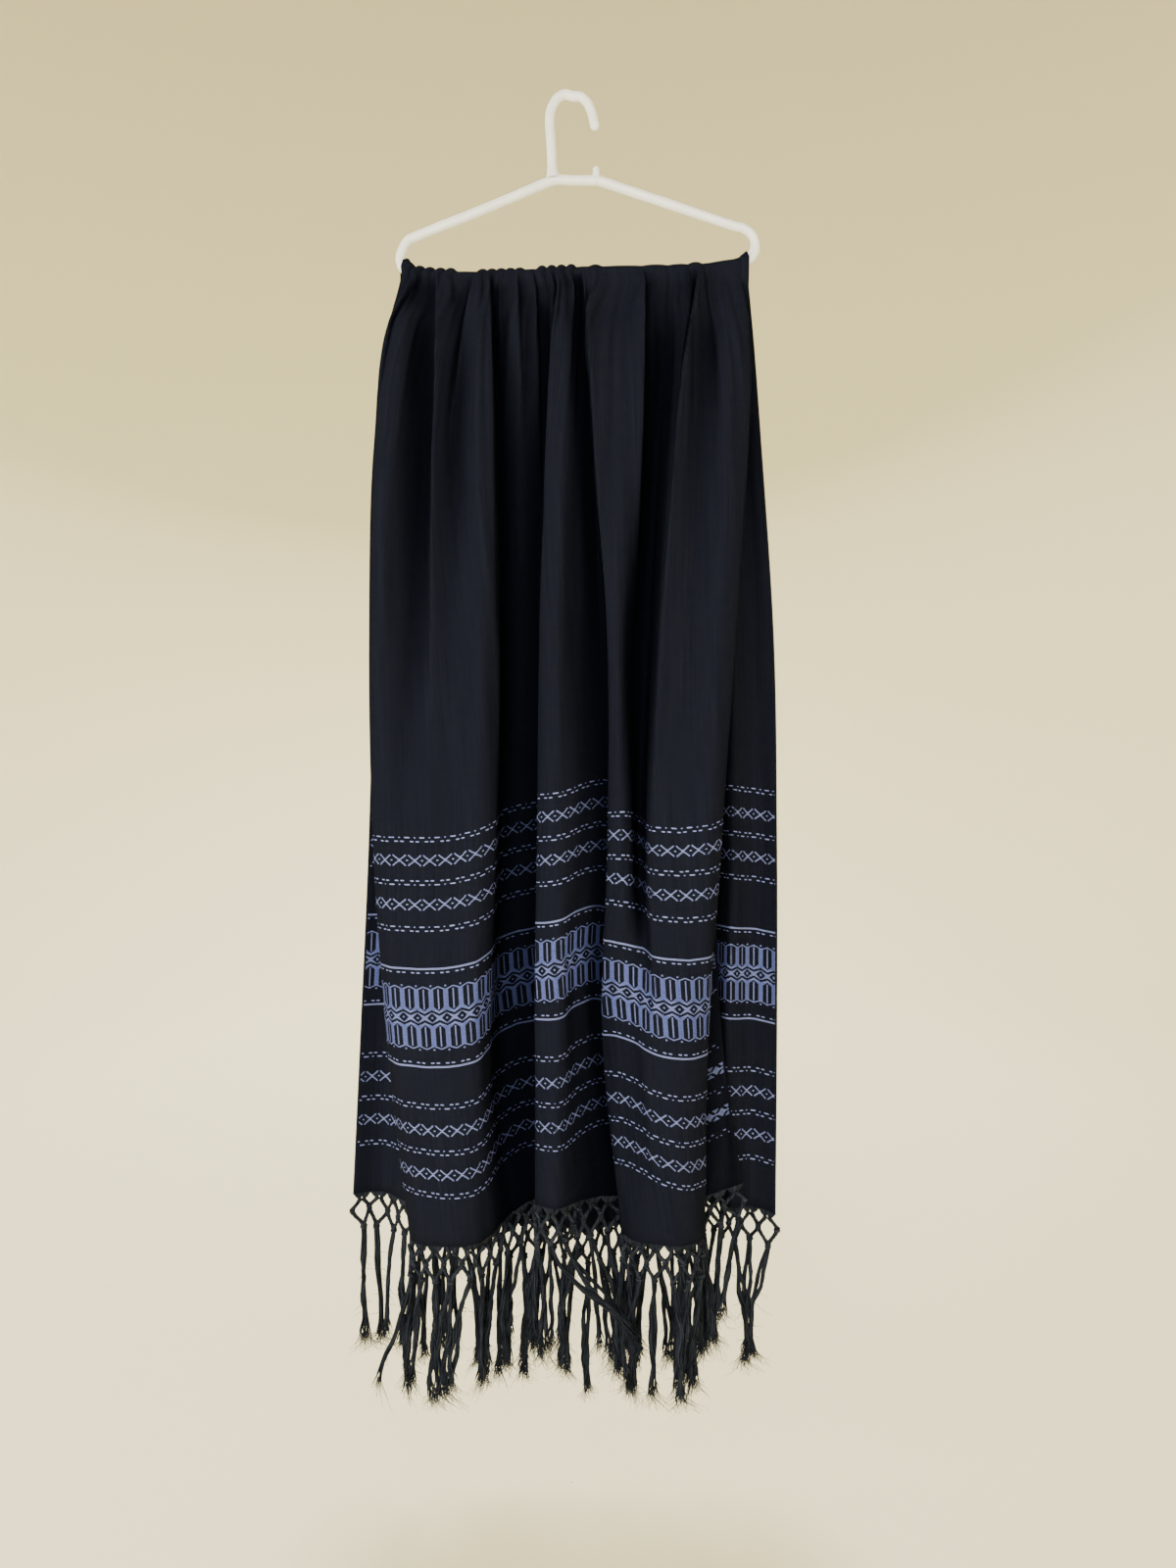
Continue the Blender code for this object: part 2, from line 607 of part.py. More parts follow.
def add_tassel(mesh, number, knot, centre, along, out):
    """Two strands under a knot of the net's lower row."""
    left, _, right, bottom = knot
    length = TASSEL_LENGTHS[number % len(TASSEL_LENGTHS)]
    sway = TASSEL_SWAYS[number % len(TASSEL_SWAYS)]
    swing = TASSEL_SWAYS[(number * 3 + 1) % len(TASSEL_SWAYS)] * 0.4
    for hand, inner, outer in ((-1, left, bottom), (1, bottom, right)):
        start = centre + along * hand * KNOT_HALF * 0.75
        lean = (sway + hand * (STRAND_SPREAD - KNOT_HALF * 0.5), swing * hand)
        add_strand(mesh, inner, outer, start, along, out, lean, length - 3.0 * hand)


def build_fringe(name, hem, finish):
    """Strip, two-row net and tassels under a hem, as one closed body."""
    line = HemLine(hem)
    mesh = FringeMesh()
    top_drop = np.array((0.0, 0.0, STRIP_DROP))
    low_drop = np.array((0.0, 0.0, STRIP_DROP + STRIP_DEPTH))

    stations = []
    for tassel in range(TASSELS):
        middle = 2 * tassel + 1
        half = ROOT_HALF / line.step(middle - 0.5), ROOT_HALF / line.step(middle + 0.5)
        stations += [(2 * tassel, "gap"), (middle - half[0], "root"),
                     (middle, "root"), (middle + half[1], "gap")]
    stations.append((2 * TASSELS, "end"))
    tops, lows = [], []
    for place, _ in stations:
        _, out = line.frame(place)
        tops.append(mesh.pair(line.at(place) - top_drop, out, STRIP_WALL))
        lows.append(mesh.pair(line.at(place) - low_drop, out, STRIP_WALL))
    for index in range(len(stations) - 1):
        a, b, c, d = tops[index], tops[index + 1], lows[index], lows[index + 1]
        mesh.faces.append((a[0], b[0], d[0], c[0]))
        mesh.faces.append((b[1], a[1], c[1], d[1]))
        mesh.faces.append((a[1], b[1], b[0], a[0]))
        if stations[index][1] == "gap":
            mesh.faces.append((c[0], d[0], d[1], c[1]))
    mesh.cap(tops[0], lows[0])
    mesh.cap(lows[-1], tops[-1])

    def knot_row(places, drop):
        made = []
        for place in places:
            along, out = line.frame(place)
            centre = line.at(place) - np.array((0.0, 0.0, drop))
            made.append((mesh.knot(centre, along, out), centre, along, out))
        return made

    first = knot_row([2 * k for k in range(TASSELS + 1)], NET_ROW)
    second = knot_row([2 * k + 1 for k in range(TASSELS)], 2 * NET_ROW)
    for k in range(TASSELS):
        left_low, middle_low, right_low = lows[4 * k + 1], lows[4 * k + 2], lows[4 * k + 3]
        before, after, below = first[k][0], first[k + 1][0], second[k][0]
        mesh.bar(left_low, middle_low, before[1], before[2])
        mesh.bar(middle_low, right_low, after[0], after[1])
        mesh.bar(before[3], before[2], below[0], below[1])
        mesh.bar(after[0], after[3], below[1], below[2])
        add_tassel(mesh, k, below, *second[k][1:])
    for end, near in ((first[0][0], 0), (first[-1][0], 2)):
        mesh.cap(end[near], end[1])
        mesh.cap(end[3], end[near])
    add_object(name, mesh.points, mesh.faces, finish, smooth=False)


def main():
    """Build every piece."""
    clear_scene()
    plastic = material("white_plastic", PLASTIC)
    cloth = material("black_cloth", CLOTH)
    cord = material("black_cord", CORD)
    build_hanger(plastic)
    front_hem = build_fall("cloth_front", FRONT_FOLDS, FRONT_SHARES, -1, cloth)
    back_hem = build_fall("cloth_back", BACK_FOLDS, BACK_SHARES, 1, cloth)
    build_fringe("fringe_front", front_hem, cord)
    build_fringe("fringe_back", back_hem, cord)


main()
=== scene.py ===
"""Looks for a rebozo hung over the lower bar of a plastic hanger.

The frame's origin is where the hanger's hook rests: +Z up, -Y the front, +X to the
right. Sizes in the tables are millimetres, and MM turns them into metres.

The cloth is one thin shell over the whole length, drawn through nearly the same fold
lines as the solids. Its figured bands are floats of thread, meshes that lie on the shell.
"""

import json
import math
from collections import namedtuple

import bpy
import numpy as np
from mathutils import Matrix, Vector

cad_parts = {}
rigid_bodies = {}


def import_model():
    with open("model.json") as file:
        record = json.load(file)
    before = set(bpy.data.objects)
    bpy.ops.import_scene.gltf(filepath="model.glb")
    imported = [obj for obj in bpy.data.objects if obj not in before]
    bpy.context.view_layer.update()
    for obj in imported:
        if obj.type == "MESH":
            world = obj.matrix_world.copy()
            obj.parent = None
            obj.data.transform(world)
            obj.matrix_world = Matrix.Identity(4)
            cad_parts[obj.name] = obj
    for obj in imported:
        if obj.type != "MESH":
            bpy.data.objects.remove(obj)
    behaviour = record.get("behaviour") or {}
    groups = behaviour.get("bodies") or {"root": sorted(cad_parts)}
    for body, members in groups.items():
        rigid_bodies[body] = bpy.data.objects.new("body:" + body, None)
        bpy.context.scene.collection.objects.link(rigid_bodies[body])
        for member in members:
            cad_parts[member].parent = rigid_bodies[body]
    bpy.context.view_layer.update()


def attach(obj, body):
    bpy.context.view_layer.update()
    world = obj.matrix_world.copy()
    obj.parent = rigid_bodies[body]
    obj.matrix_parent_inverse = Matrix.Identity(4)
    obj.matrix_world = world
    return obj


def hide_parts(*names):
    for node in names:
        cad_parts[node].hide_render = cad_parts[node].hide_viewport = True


MM = 0.001

# Camera: level, in front of the shawl, with the whole of it in a tall picture.
CAMERA_PLACE = (0.0193, -1.364, -0.791)
CAMERA_LENS = 27.04          # on a 36 mm sensor along the tall side

# Hanger, millimetres.
HOOK_RADIUS = 5.25
FRAME_RADIUS = 5.25
PEG_ACROSS = 29.0
PEG_RADIUS = 3.6
PEG_LINE = ((-92.0, 5.2), (-87.5, 4.4), (-84.0, 3.9), (-81.0, PEG_RADIUS),
            (-76.0 - PEG_RADIUS, PEG_RADIUS))    # height and radius, up to its round tip
FOOT_RISE = (0.4, 0.8)       # the hook's foot, from the first points of hook and frame
FOOT_FLARE = 2.9
FOOT_HIGH = 17.0
TIP_SHARE = 0.96             # of a quarter turn, to which a round tip is drawn
SPAN_STEPS = 8               # points to a span of a smooth line, and to a tip
HOOK_LINE = (
    (-21.2, -85.9), (-22.2, -73.6), (-23.6, -46.4), (-24.9, -23.7),
    (-22.9, -9.0), (-16.6, 2.4), (-7.6, 7.4), (1.2, 5.25),
    (10.2, 4.9), (18.4, -2.0), (23.2, -12.2), (26.1, -23.5), (27.2, -28.7),
)
FRAME_LINE = (
    (-19.0, -91.7), (4.0, -92.3), (28.0, -92.4), (36.5, -94.2),
    (120.0, -122.0), (186.0, -144.0), (199.0, -147.2),
    (208.5, -154.5), (212.8, -165.0), (211.5, -176.5), (203.5, -185.0), (190.0, -190.2),
    (160.0, -195.0), (120.0, -197.5), (19.0, -199.2), (-60.0, -203.0),
    (-117.0, -205.2), (-158.0, -204.4), (-181.0, -201.5),
    (-193.5, -195.5), (-198.3, -184.5), (-196.3, -174.0), (-190.5, -163.5), (-179.0, -156.8),
    (-106.0, -127.6), (-30.0, -95.5),
)
BAR_FIRST = 9
BAR_LAST = 20
BAR_SAMPLES = 1201
TUBE_SIDES = 24
MOULD_LINE = 0.12            # height of the parting line left by the mould

# Cloth, millimetres.
CLOTH_WIDTH = 735.0
CLOTH_THICK = 0.6
WRAP_RADIUS = 6.3            # the cloth's middle, from the bar's axis
CREST_LEFT = -188.0
CREST_RIGHT = 202.0
FOLD_LEVELS = (206.0, 267.0, 408.0, 627.0, 856.0, 1085.0, 1303.0)
BAR_DEPTH = 6.4              # of every fold line at the first level, beside the bar
SAMPLES_PER_FOLD = 24
COLUMNS = 346                # two pattern cells to a column
WRAP_STEPS = 6               # rows from the crest to the side of the bar
TOP_SHARE = 0.12             # the gathered stretch under the bar
TOP_ROWS = 14
MIDDLE_SHARE = 0.56
MIDDLE_ROWS = 20
PATTERN_ROWS = 30
BAND_SHARE = 0.77            # of the fall, down to the main band
BAND_SMOOTH = 7              # columns each way over which the band's height is evened
# Painted shade: colour is darkened where a point lies shut in between higher folds.
SHUT_REACH = 55.0            # mm each way in which higher folds shut a point in
SHUT_SOFT = 2.0
SHUT_FROM = 22.0             # degrees shut in, both sides together, where shading starts
SHUT_TO = 104.0              # and where it is full
CLOTH_PAINTED_SHADE_MOST = 0.9

# A fold line: places across at each level, depths at each level below the bar, and the
# heights of the hem and of the band's middle below the seat. round is less for a crease.
Fold = namedtuple("Fold", "name across depth hem band round", defaults=(1.0,))

FRONT_FOLDS = (
    Fold("left_selvage", (-196, -204, -211, -214, -211, -195, -169), (8, 10, 14, 16, 16, 16), 1303, 1046),
    Fold("left_turn", (-192, -209, -223, -228, -222, -206, -182), (18, 32, 36, 38, 38, 34), 1303, 1047),
    Fold("left_ridge", (-180, -191, -208, -211, -204, -189, -167), (27, 48, 56, 60, 64, 58), 1302, 1047),
    Fold("left_valley", (-167, -169, -169, -176, -184, -170, -149), (10, 22, 41, 60, 72, 70), 1300, 1048),
    Fold("crease", (-157, -156, -154, -156, -160, -151, -135), (25, 44, 58, 64, 76, 76), 1298, 1048, 0.5),
    Fold("a_valley", (-132, -127, -131, -129, -132, -128, -120), (14, 30, 54, 64, 79, 78), 1297, 1046),
    Fold("a_ridge", (-108, -105, -101, -94, -99, -105, -101), (28, 52, 64, 68, 76, 70), 1297, 1041),
    Fold("a_edge", (-97, -93, -86, -81, -84, -91, -87), (18, 36, 48, 54, 50, 50), 1294, 1031.5, 0.8),
    Fold("dark_left", (-86, -87, -83, -80, -80, -81, -73), (7, 9, 12, 10, 14, 28), 1286, 1024),
    Fold("dark_ridge", (-63, -63, -59, -58, -59, -63, -55), (17, 21, 22, 18, 8, 10), 1276, 1016),
    Fold("b_under", (-34, -25, -22, -26, -27, -29, -30), (8, 10, 10, 8, 2, 0), 1268, 1008, 0.9),
    Fold("b_edge", (-26, -23, -28, -35, -38, -39, -40), (21, 36, 48, 50, 52, 50), 1261, 999, 0.45),
    Fold("b_ridge", (-11, -8, -10, -19, -14, -16, -16), (28, 48, 60, 64, 66, 62), 1262, 997),
    Fold("b_slope", (5, 4, 6, 5, 14, 6, 9), (16, 30, 38, 40, 38, 36), 1263, 985),
    Fold("b_right", (13, 13, 19, 31, 38, 25, 37), (11, 20, 20, 24, 22, 18), 1263, 979),
    Fold("c_under", (19, 23, 34, 55, 60, 55, 76), (8, 10, 14, 12, 6, 6), 1270, 996, 1.5),
    Fold("c_edge", (25, 15, 24, 41, 41, 36, 58), (26, 42, 50, 48, 40, 38), 1298, 1018, 0.6),
    Fold("c_ridge", (53, 53, 50, 51, 56, 57, 71), (22, 42, 58, 58, 47, 62), 1297, 1021),
    Fold("c_right", (81, 82, 75, 63, 69, 74, 84), (20, 34, 38, 46, 61, 76), 1295, 1027, 0.6),
    Fold("d_valley", (110, 107, 96, 84, 77, 84, 96), (8, 9, 14, 28, 74, 84), 1293, 1029),
    Fold("d_edge", (136, 127, 116, 101, 90, 96, 109), (27, 46, 60, 63, 83, 87), 1293, 1034, 0.5),
    Fold("d_soft", (153, 156, 148, 139, 129, 115, 120), (14, 34, 54, 66, 86, 86), 1294, 1036),
    Fold("d_ridge", (179, 182, 176, 167, 153, 138, 135), (26, 48, 62, 68, 77, 73), 1296, 1038),
    Fold("d_edge_right", (194, 203, 200, 184, 169, 153, 149), (17, 36, 48, 50, 50, 48), 1298, 1039, 0.8),
    Fold("d_under", (198, 197, 184, 162, 142, 127, 121), (9.5, 14, 20, 24, 28, 30), 1288, 1030, 1.5),
    Fold("margin", (202, 200.5, 188, 167, 151, 146, 156), (7.5, 9, 13, 14, 15, 15), 1264, 1006),
    Fold("right_selvage", (205, 203, 192, 175, 166, 175, 206), (7.5, 7, 8, 7, 2, -8), 1257, 994),
)

BACK_FOLDS = (
    Fold("left_selvage", (-199, -216, -228, -233, -239, -250, -260), (10, 16, 22, 26, 30, 30), 1277, 999),
    Fold("turn_1", (-186, -200, -212, -217, -217, -224, -231), (22, 38, 42, 42, 42, 42), 1278, 1000),
    Fold("inner_1", (-170, -175, -180, -183, -178, -183, -187), (9, 12, 14, 14, 15, 15), 1282, 1004),
    Fold("ridge_2", (-154, -158, -159, -155, -150, -150, -152), (26, 48, 50, 50, 48, 48), 1288, 1010),
    Fold("inner_2", (-134, -132, -125, -118, -116, -116, -116), (9, 10, 12, 12, 12, 12), 1296, 1018),
    Fold("ridge_3", (-110, -110, -105, -98, -94, -93, -93), (26, 48, 50, 50, 46, 46), 1302, 1024),
    Fold("inner_3", (-87, -86, -79, -72, -70, -73, -73), (9, 10, 12, 15, 18, 20), 1308, 1030),
    Fold("ridge_4", (-61, -59, -54, -47, -40, -37, -33), (28, 50, 53, 53, 54, 54), 1312, 1034),
    Fold("inner_4", (-31, -29, -22, -10, -1, 6, 12), (9, 10, 12, 12, 14, 14), 1316, 1038),
    Fold("ridge_5", (-1, 3, 12, 24, 33, 40, 47), (26, 46, 49, 49, 48, 48), 1317, 1039),
    Fold("inner_5", (26, 31, 40, 54, 63, 72, 79), (9, 12, 14, 14, 14, 14), 1312, 1034),
    Fold("ridge_6", (56, 61, 71, 85, 95, 104, 109), (24, 44, 48, 50, 50, 50), 1304, 1026),
    Fold("inner_6", (90, 92, 99, 113, 123, 132, 134), (9, 12, 14, 16, 18, 20), 1296, 1018),
    Fold("ridge_7", (120, 126, 139, 154, 161, 163, 166), (24, 46, 52, 56, 56, 56), 1290, 1012),
    Fold("panel_edge", (147, 159, 177, 189, 191, 183, 187), (8, 11, 15, 17, 18, 22), 1290, 1012, 0.6),
    Fold("panel_ridge", (181, 189, 207, 217, 221, 217, 217), (14, 26, 32, 34, 34, 34), 1294, 1016),
    Fold("right_selvage", (206, 212, 223, 238, 242, 242, 240), (9, 14, 20, 22, 22, 22), 1298, 1020),
)

Gathers = namedtuple("Gathers", "start end pleats height")
GATHERS = (
    Gathers(-199, -139, 5, 4.2),
    Gathers(-139, -113, 1, 0.5),
    Gathers(-113, -58, 5, 3.0),
    Gathers(-58, -43, 1, 0.6),
    Gathers(-43, 3, 4, 4.0),
    Gathers(3, 19, 1, 0.8),
    Gathers(19, 33, 1, 2.6),
    Gathers(33, 82, 1, 0.8),
    Gathers(82, 112, 1, 1.4),
    Gathers(112, 136, 1, 1.4),
    Gathers(136, 152, 1, 2.4),
    Gathers(152, 197, 1, 0.6),
    Gathers(197, 208, 1, 2.2),
)
GATHER_ROUND = 0.6
PLEAT_REACH = 120.0          # mm that the small pleats run down from the bar
PLEAT_VARIES = 50.0
PLEAT_WAVES = (11.0, 3.7)
PLEAT_FADE = 1.5

# Small ripples over the big folds: waves across the width, height in mm, how far
# below the bar they die away (0 for never), lean of the wave along the fall.
Ripple = namedtuple("Ripple", "waves height fade lean")
RIPPLES = (
    Ripple(46.0, 0.9, 150.0, 1.3),
    Ripple(29.0, 0.8, 260.0, -0.9),
    Ripple(17.0, 0.55, 0.0, 0.8),
    Ripple(23.5, 0.35, 0.0, -1.7),
)
RIPPLE_RUN = 1100.0          # mm down the fall over which a wave leans by its lean
RIPPLE_WANDER = 1.9
WANDER_WAVES = 2.3
WANDER_SHIFT = 0.37
WANDER_RUN = 310.0
RIPPLE_START = 35.0          # mm below the bar by which the ripples are at full height

# Edges where the gathered front laps over itself: places across at the bar, a third of
# the way down and at the end (mm), length, rise, reach, and the side that stands up.
# On the other side the cloth sinks by LAP_SINK of the rise, under the lap.
Lap = namedtuple("Lap", "name across length rise reach side")
FRONT_LAPS = (
    Lap("left_turn", (-176, -205, -224), 190, 8.0, 20, -1),
    Lap("a_crease", (-156, -155, -156), 520, 7.0, 22, 1),
    Lap("a_lap", (-112, -124, -138), 190, 8.0, 16, 1),
    Lap("a_right", (-94, -88, -84), 430, 9.0, 20, -1),
    Lap("dark_pleat_1", (-82, -82, -81), 95, 4.5, 9, -1),
    Lap("dark_pleat_2", (-64, -62, -58), 180, 6.0, 12, -1),
    Lap("dark_pleat_3", (-47, -43, -37), 280, 7.0, 14, -1),
    Lap("b_left", (-20, -27, -36), 430, 9.0, 18, 1),
    Lap("b_pleat_1", (-14, -14, -15), 70, 4.5, 6, 1),
    Lap("b_pleat_2", (-3, -2, -1), 60, 4.5, 6, -1),
    Lap("c_left", (13, 22, 38), 460, 9.0, 22, 1),
    Lap("c_right", (82, 78, 70), 430, 10.0, 24, -1),
    Lap("d_left", (147, 123, 100), 430, 14.0, 30, 1),
    Lap("d_pleat", (150, 153, 158), 70, 5.0, 10, -1),
)
LAP_DROP = 1.3               # mm over which a lap's edge falls away
LAP_SINK = 0.6
LAP_UNDER = 9.0              # mm over which the cloth comes back beyond the edge
LAP_TUCK = 0.55              # share of the rise by which the cloth beyond is drawn under
LAP_SPAN = 1.6               # and where it is drawn in most, in rises from the edge
LAP_START = 14.0             # mm below the bar by which a lap has its full rise
LAP_FADE = 0.6

# Figured weave. Cells and rows of pattern; a repeat is 16 cells wide.
REPEAT_CELLS = 16.0
REPEATS = 43.25
CELL = CLOTH_WIDTH / (REPEATS * REPEAT_CELLS)
FINE_ROW = 0.64              # mm from row to row in the band, where it shows most
PLAIN_ROW = 1.0
FLOAT_FILL = 0.95            # a float's height in the band, as a share of its row
DASH_HIGH = 1.7
LINE_HIGH = 1.15
SELVAGE = 2.5                # mm left plain at each selvage
FRONT_MARGIN = 0.915         # share of the width where the front's margin is turned over
FLOAT_RISE = 0.34            # mm, a float's ridge above the cloth
FLOAT_SINK = 0.1             # mm, a float's edges below the cloth's surface
PINCH = 0.8                 # height of a float's ends against its middle
SHORT_FLOAT = 2.4            # mm, a float that is too short to be drawn in at its ends
SHORT_PINCH = 0.92
FLAT_TURN = 5.0              # degrees of turn that a float crosses without a bend
FLOAT_INSET = 0.9            # mm from a long float's end to its full height and deep blue
STATION_GAP = 0.2            # mm at least between a float's shoulder and a bend
SHORTEST_FLOAT = 0.5
SHORT_LIFT = 0.6             # share of a ridge's height at a short float's ends
END_LIFT = 0.25              # and at a long one's
FLAT_LIFT = 0.12             # mm, a flat float above the cloth
LINE_SPREAD = 0.55           # mm from a plain line's middle to each of its two rows
OUTLINE_PALENESS = 0.6         # of the band's floats near its outline and along its middle
OUTLINE_ROWS = (8.0, 31.0)   # mm from the band's middle between which floats are a deep blue

# Distances of the pattern's rows from the middle of the main band, the same each way.
End = namedtuple("End", "line pairs dashes_1 diamonds_1 dashes_2 diamonds_2 dashes_3")
FRONT_END = End(53.2, 48.9, 96.5, 123.0, 147.0, 171.5, 194.5)
BACK_END = End(53.4, 49.1, 113.4, 139.0, 164.5, 190.0, 218.0)

# Fringe, millimetres.
TASSELS = 34
NET_ROW = 19.0
NET_JITTER = 1.9
JITTER_OUT = 0.7             # share of it forward and back
ROOTS = 7
CORD_YARNS = 3
CORD_RADIUS = 1.7
CORD_YARN = 1.7
CORD_TURNS = 1.6
CORD_STEPS = 9
CORD_EASE = 0.75             # share of a cord's way across that it takes as a soft bend
YARN_RADIUS = 1.134
YARN_TAPER = ((0.0, 0.1, 0.8, 0.93, 1.0), (0.8, 1.0, 1.0, 0.7, 0.12))
YARN_WRAP = 1.5              # mm of the look's grain to a radian round a yarn
YARN_APART = (7.3, 3.1)      # mm from one yarn's grain to the next one's
KNOT_RADIUS = 2.5
KNOT_TUBE = 1.65
KNOT_STEPS = 13
KNOT_TURNS = 1.55
KNOT_HIGH = 3.6
KNOT_WOBBLE = 0.7
KNOT_SQUASH = 0.85
STRAND_YARNS = 8
STRAND_TURNS = 1.2
STRAND_STEPS = 15
STRAND_SPREAD = 1.25
STRAND_WAVES = ((4.5, 1.1), (1.7, 2.9))    # most height in mm, and waves to a strand
INNER_YARN = 0.55            # reach of every other yarn against the rest
FRAY_FROM = 0.8              # of a strand's length
FRAY_REACH = (1.0, 7.5)
HAIR_STEPS = 6
HAIRS = 26                   # to a strand, most of them in the tuft at its end
TUFT_HAIRS = 20
HAIR_RADIUS = 0.34
HAIR_TAPER = 0.6
HAIR_KINK = 0.12
MOST_PULL = 22.0             # mm that a tassel leans to cling to its neighbours
TASSEL_LENGTHS = (122.0, 131.0, 117.0, 127.0, 135.0, 120.0, 129.0)
BACK_EXTRA = 11.0            # mm by which the back tassels are longer
UP = np.array((0.0, 0.0, 1.0))

# Least and most of what is drawn by lot in the fringe.
CORD_BOW = (-1, 2)           # mm forward
UPPER_KNOT = (0.9, 1.1)      # sizes against the plain knot
LOWER_KNOT = (1.0, 1.25)
SWAY = (-11.0, 11.0)         # mm across, of a group of tassels that cling together
SWAY_OUT = (-4.0, 4.0)
CLING = (0.4, 0.95)          # share of the way to the group's middle
HAND_LEAN = (-3.0, 4.5)      # mm between a tassel's two strands at their ends
HAND_OUT = (-4.0, 4.0)
REACH_VARIES = (0.92, 1.04)
LOOSENESS = (0.0, 2.0)
TURNS_VARY = (0.6, 1.5)
YARN_ENDS = (-5.0, 5.0)      # mm up or down
HAIR_ROOT = (-1.5, 1.5)      # mm from the strand's middle
HAIR_DEEP = (-0.3, 0.3)      # slopes of a hair
HAIR_CURL = (-0.8, 0.8)
TUFT_LENGTH = (12.0, 24.0)
TUFT_SPREAD = (-0.75, 0.75)
LOOSE_LENGTH = (8.0, 18.0)
LOOSE_SPREAD = (0.3, 0.9)
LOOSE_DROP = (0.1, 0.9)


def clear_scene():
    """Remove what the scene holds."""
    for item in list(bpy.data.objects):
        bpy.data.objects.remove(item, do_unlink=True)


# ---------------------------------------------------------------- cloth surface


def bar_height(across):
    """Height of the lower bar's axis at the given places across."""
    bar = sorted(FRAME_LINE[BAR_FIRST:BAR_LAST])
    return np.interp(across, [point[0] for point in bar], [point[1] for point in bar])


def crest_height(across, depth, radius):
    """Height of the top of a round sweep along the bar, a radius thick."""
    ends = np.array(FRAME_LINE[BAR_FIRST - 1:BAR_LAST + 1])
    place = np.linspace(0.0, len(ends) - 1.0, BAR_SAMPLES)
    line = np.stack([np.interp(place, np.arange(len(ends)), ends[:, k]) for k in (0, 1)], axis=1)
    squares = radius[:, None] ** 2 - depth[:, None] ** 2
    squares = squares - (across[:, None] - line[None, :, 0]) ** 2
    reach = np.where(squares > 0.0, np.sqrt(np.maximum(squares, 0.0)), -100.0)
    return np.max(line[None, :, 1] + reach, axis=1)


def gather_bumps(across):
    """How far the small pleats on the bar stand up at the given places."""
    bump = np.zeros_like(across)
    for run in GATHERS:
        inside = (across >= run.start) & (across < run.end)
        phase = (across - run.start) / (run.end - run.start) * run.pleats
        wave = np.abs(np.sin(np.pi * phase)) ** GATHER_ROUND
        bump = np.where(inside, run.height * wave, bump)
    return bump


def slopes_through(values, steps):
    """Slopes at each point along axis 1, from the steps on either side."""
    rates = np.diff(values, axis=1) / steps
    slopes = np.empty_like(values)
    slopes[:, 0], slopes[:, -1] = rates[:, 0], rates[:, -1]
    slopes[:, 1:-1] = (rates[:, :-1] * steps[1:] + rates[:, 1:] * steps[:-1]) \
        / (steps[1:] + steps[:-1])
    return slopes


def smooth_between(start, end, leaving, arriving, span, t):
    """A curve from start to end with a slope at each, a share t of the span along."""
    return (start * (2 * t ** 3 - 3 * t ** 2 + 1)
            + leaving * span * (t ** 3 - 2 * t ** 2 + t)
            + end * (-2 * t ** 3 + 3 * t ** 2)
            + arriving * span * (t ** 3 - t ** 2))


def level_values(table, heights):
    """Smoothly read a table, a row for each fold, at the given depths below the seat."""
    levels = np.array(FOLD_LEVELS)
    values = np.array(table, dtype=float)
    steps = np.diff(levels)
    slopes = slopes_through(values, steps)
    heights = np.clip(heights, levels[0], levels[-1])
    index = np.clip(np.searchsorted(levels, heights, side="right") - 1, 0, len(levels) - 2)
    span = steps[index]
    return smooth_between(values[:, index], values[:, index + 1], slopes[:, index],
                          slopes[:, index + 1], span, (heights - levels[index]) / span)


def fold_curve(folds, heights):
    """Across and depth of a level section, sampled evenly between fold lines."""
    across = level_values([fold.across for fold in folds], heights)
    depth = level_values([(BAR_DEPTH, *fold.depth) for fold in folds], heights)
    places = np.stack((across, depth))
    gaps = np.linalg.norm(np.diff(places, axis=1), axis=0)
    turns = slopes_through(places, gaps)
    turns *= np.array([fold.round for fold in folds])[None, :, None]
    place = np.arange(len(heights)) / SAMPLES_PER_FOLD
    index = np.minimum(place.astype(int), len(folds) - 2)
    pick = np.arange(len(heights))
    return smooth_between(places[:, index, pick], places[:, index + 1, pick],
                          turns[:, index, pick], turns[:, index + 1, pick],
                          gaps[index, pick], place - index)


def fall_row(folds, side, share, angle=90.0):
    """One row of a fall: points at each fold sample. share is 0 at the bar, 1 at the hem.

    An angle under 90 degrees gives a row of the stretch that goes over the bar instead.
    """
    samples = (len(folds) - 1) * SAMPLES_PER_FOLD + 1
    across, _ = fold_curve(folds, np.full(samples, FOLD_LEVELS[0]))
    pleats = gather_bumps(across)
    if angle < 90.0:
        radius = WRAP_RADIUS + pleats
        turn = math.radians(angle)
        inside = np.interp(across, (across[0], across[-1]), (CREST_LEFT, CREST_RIGHT))
        across = across + (inside - across) * math.cos(turn)
        depth = radius * math.sin(turn)
        return np.stack((across, side * depth, crest_height(across, depth, radius)), axis=1)
    axis = bar_height(across)
    hems = np.interp(np.arange(samples) / SAMPLES_PER_FOLD, np.arange(len(folds)),
                     [fold.hem for fold in folds])
    run = share * (hems + axis)
    reach = PLEAT_REACH + PLEAT_VARIES * np.sin(across / PLEAT_WAVES[0]) \
        * np.sin(across / PLEAT_WAVES[1])
    across, depth = fold_curve(folds, -axis + run)
    depth = depth + pleats * np.clip(1.0 - run / reach, 0.0, 1.0) ** PLEAT_FADE
    return np.stack((across, side * depth, axis - run), axis=1)


def even_columns(row):
    """The row read at even steps of the cloth's width."""
    length = length_along(row[:, :2])
    wanted = np.linspace(0.0, length[-1], COLUMNS + 1)
    return np.stack([np.interp(wanted, length, row[:, k]) for k in range(row.shape[1])], axis=1)


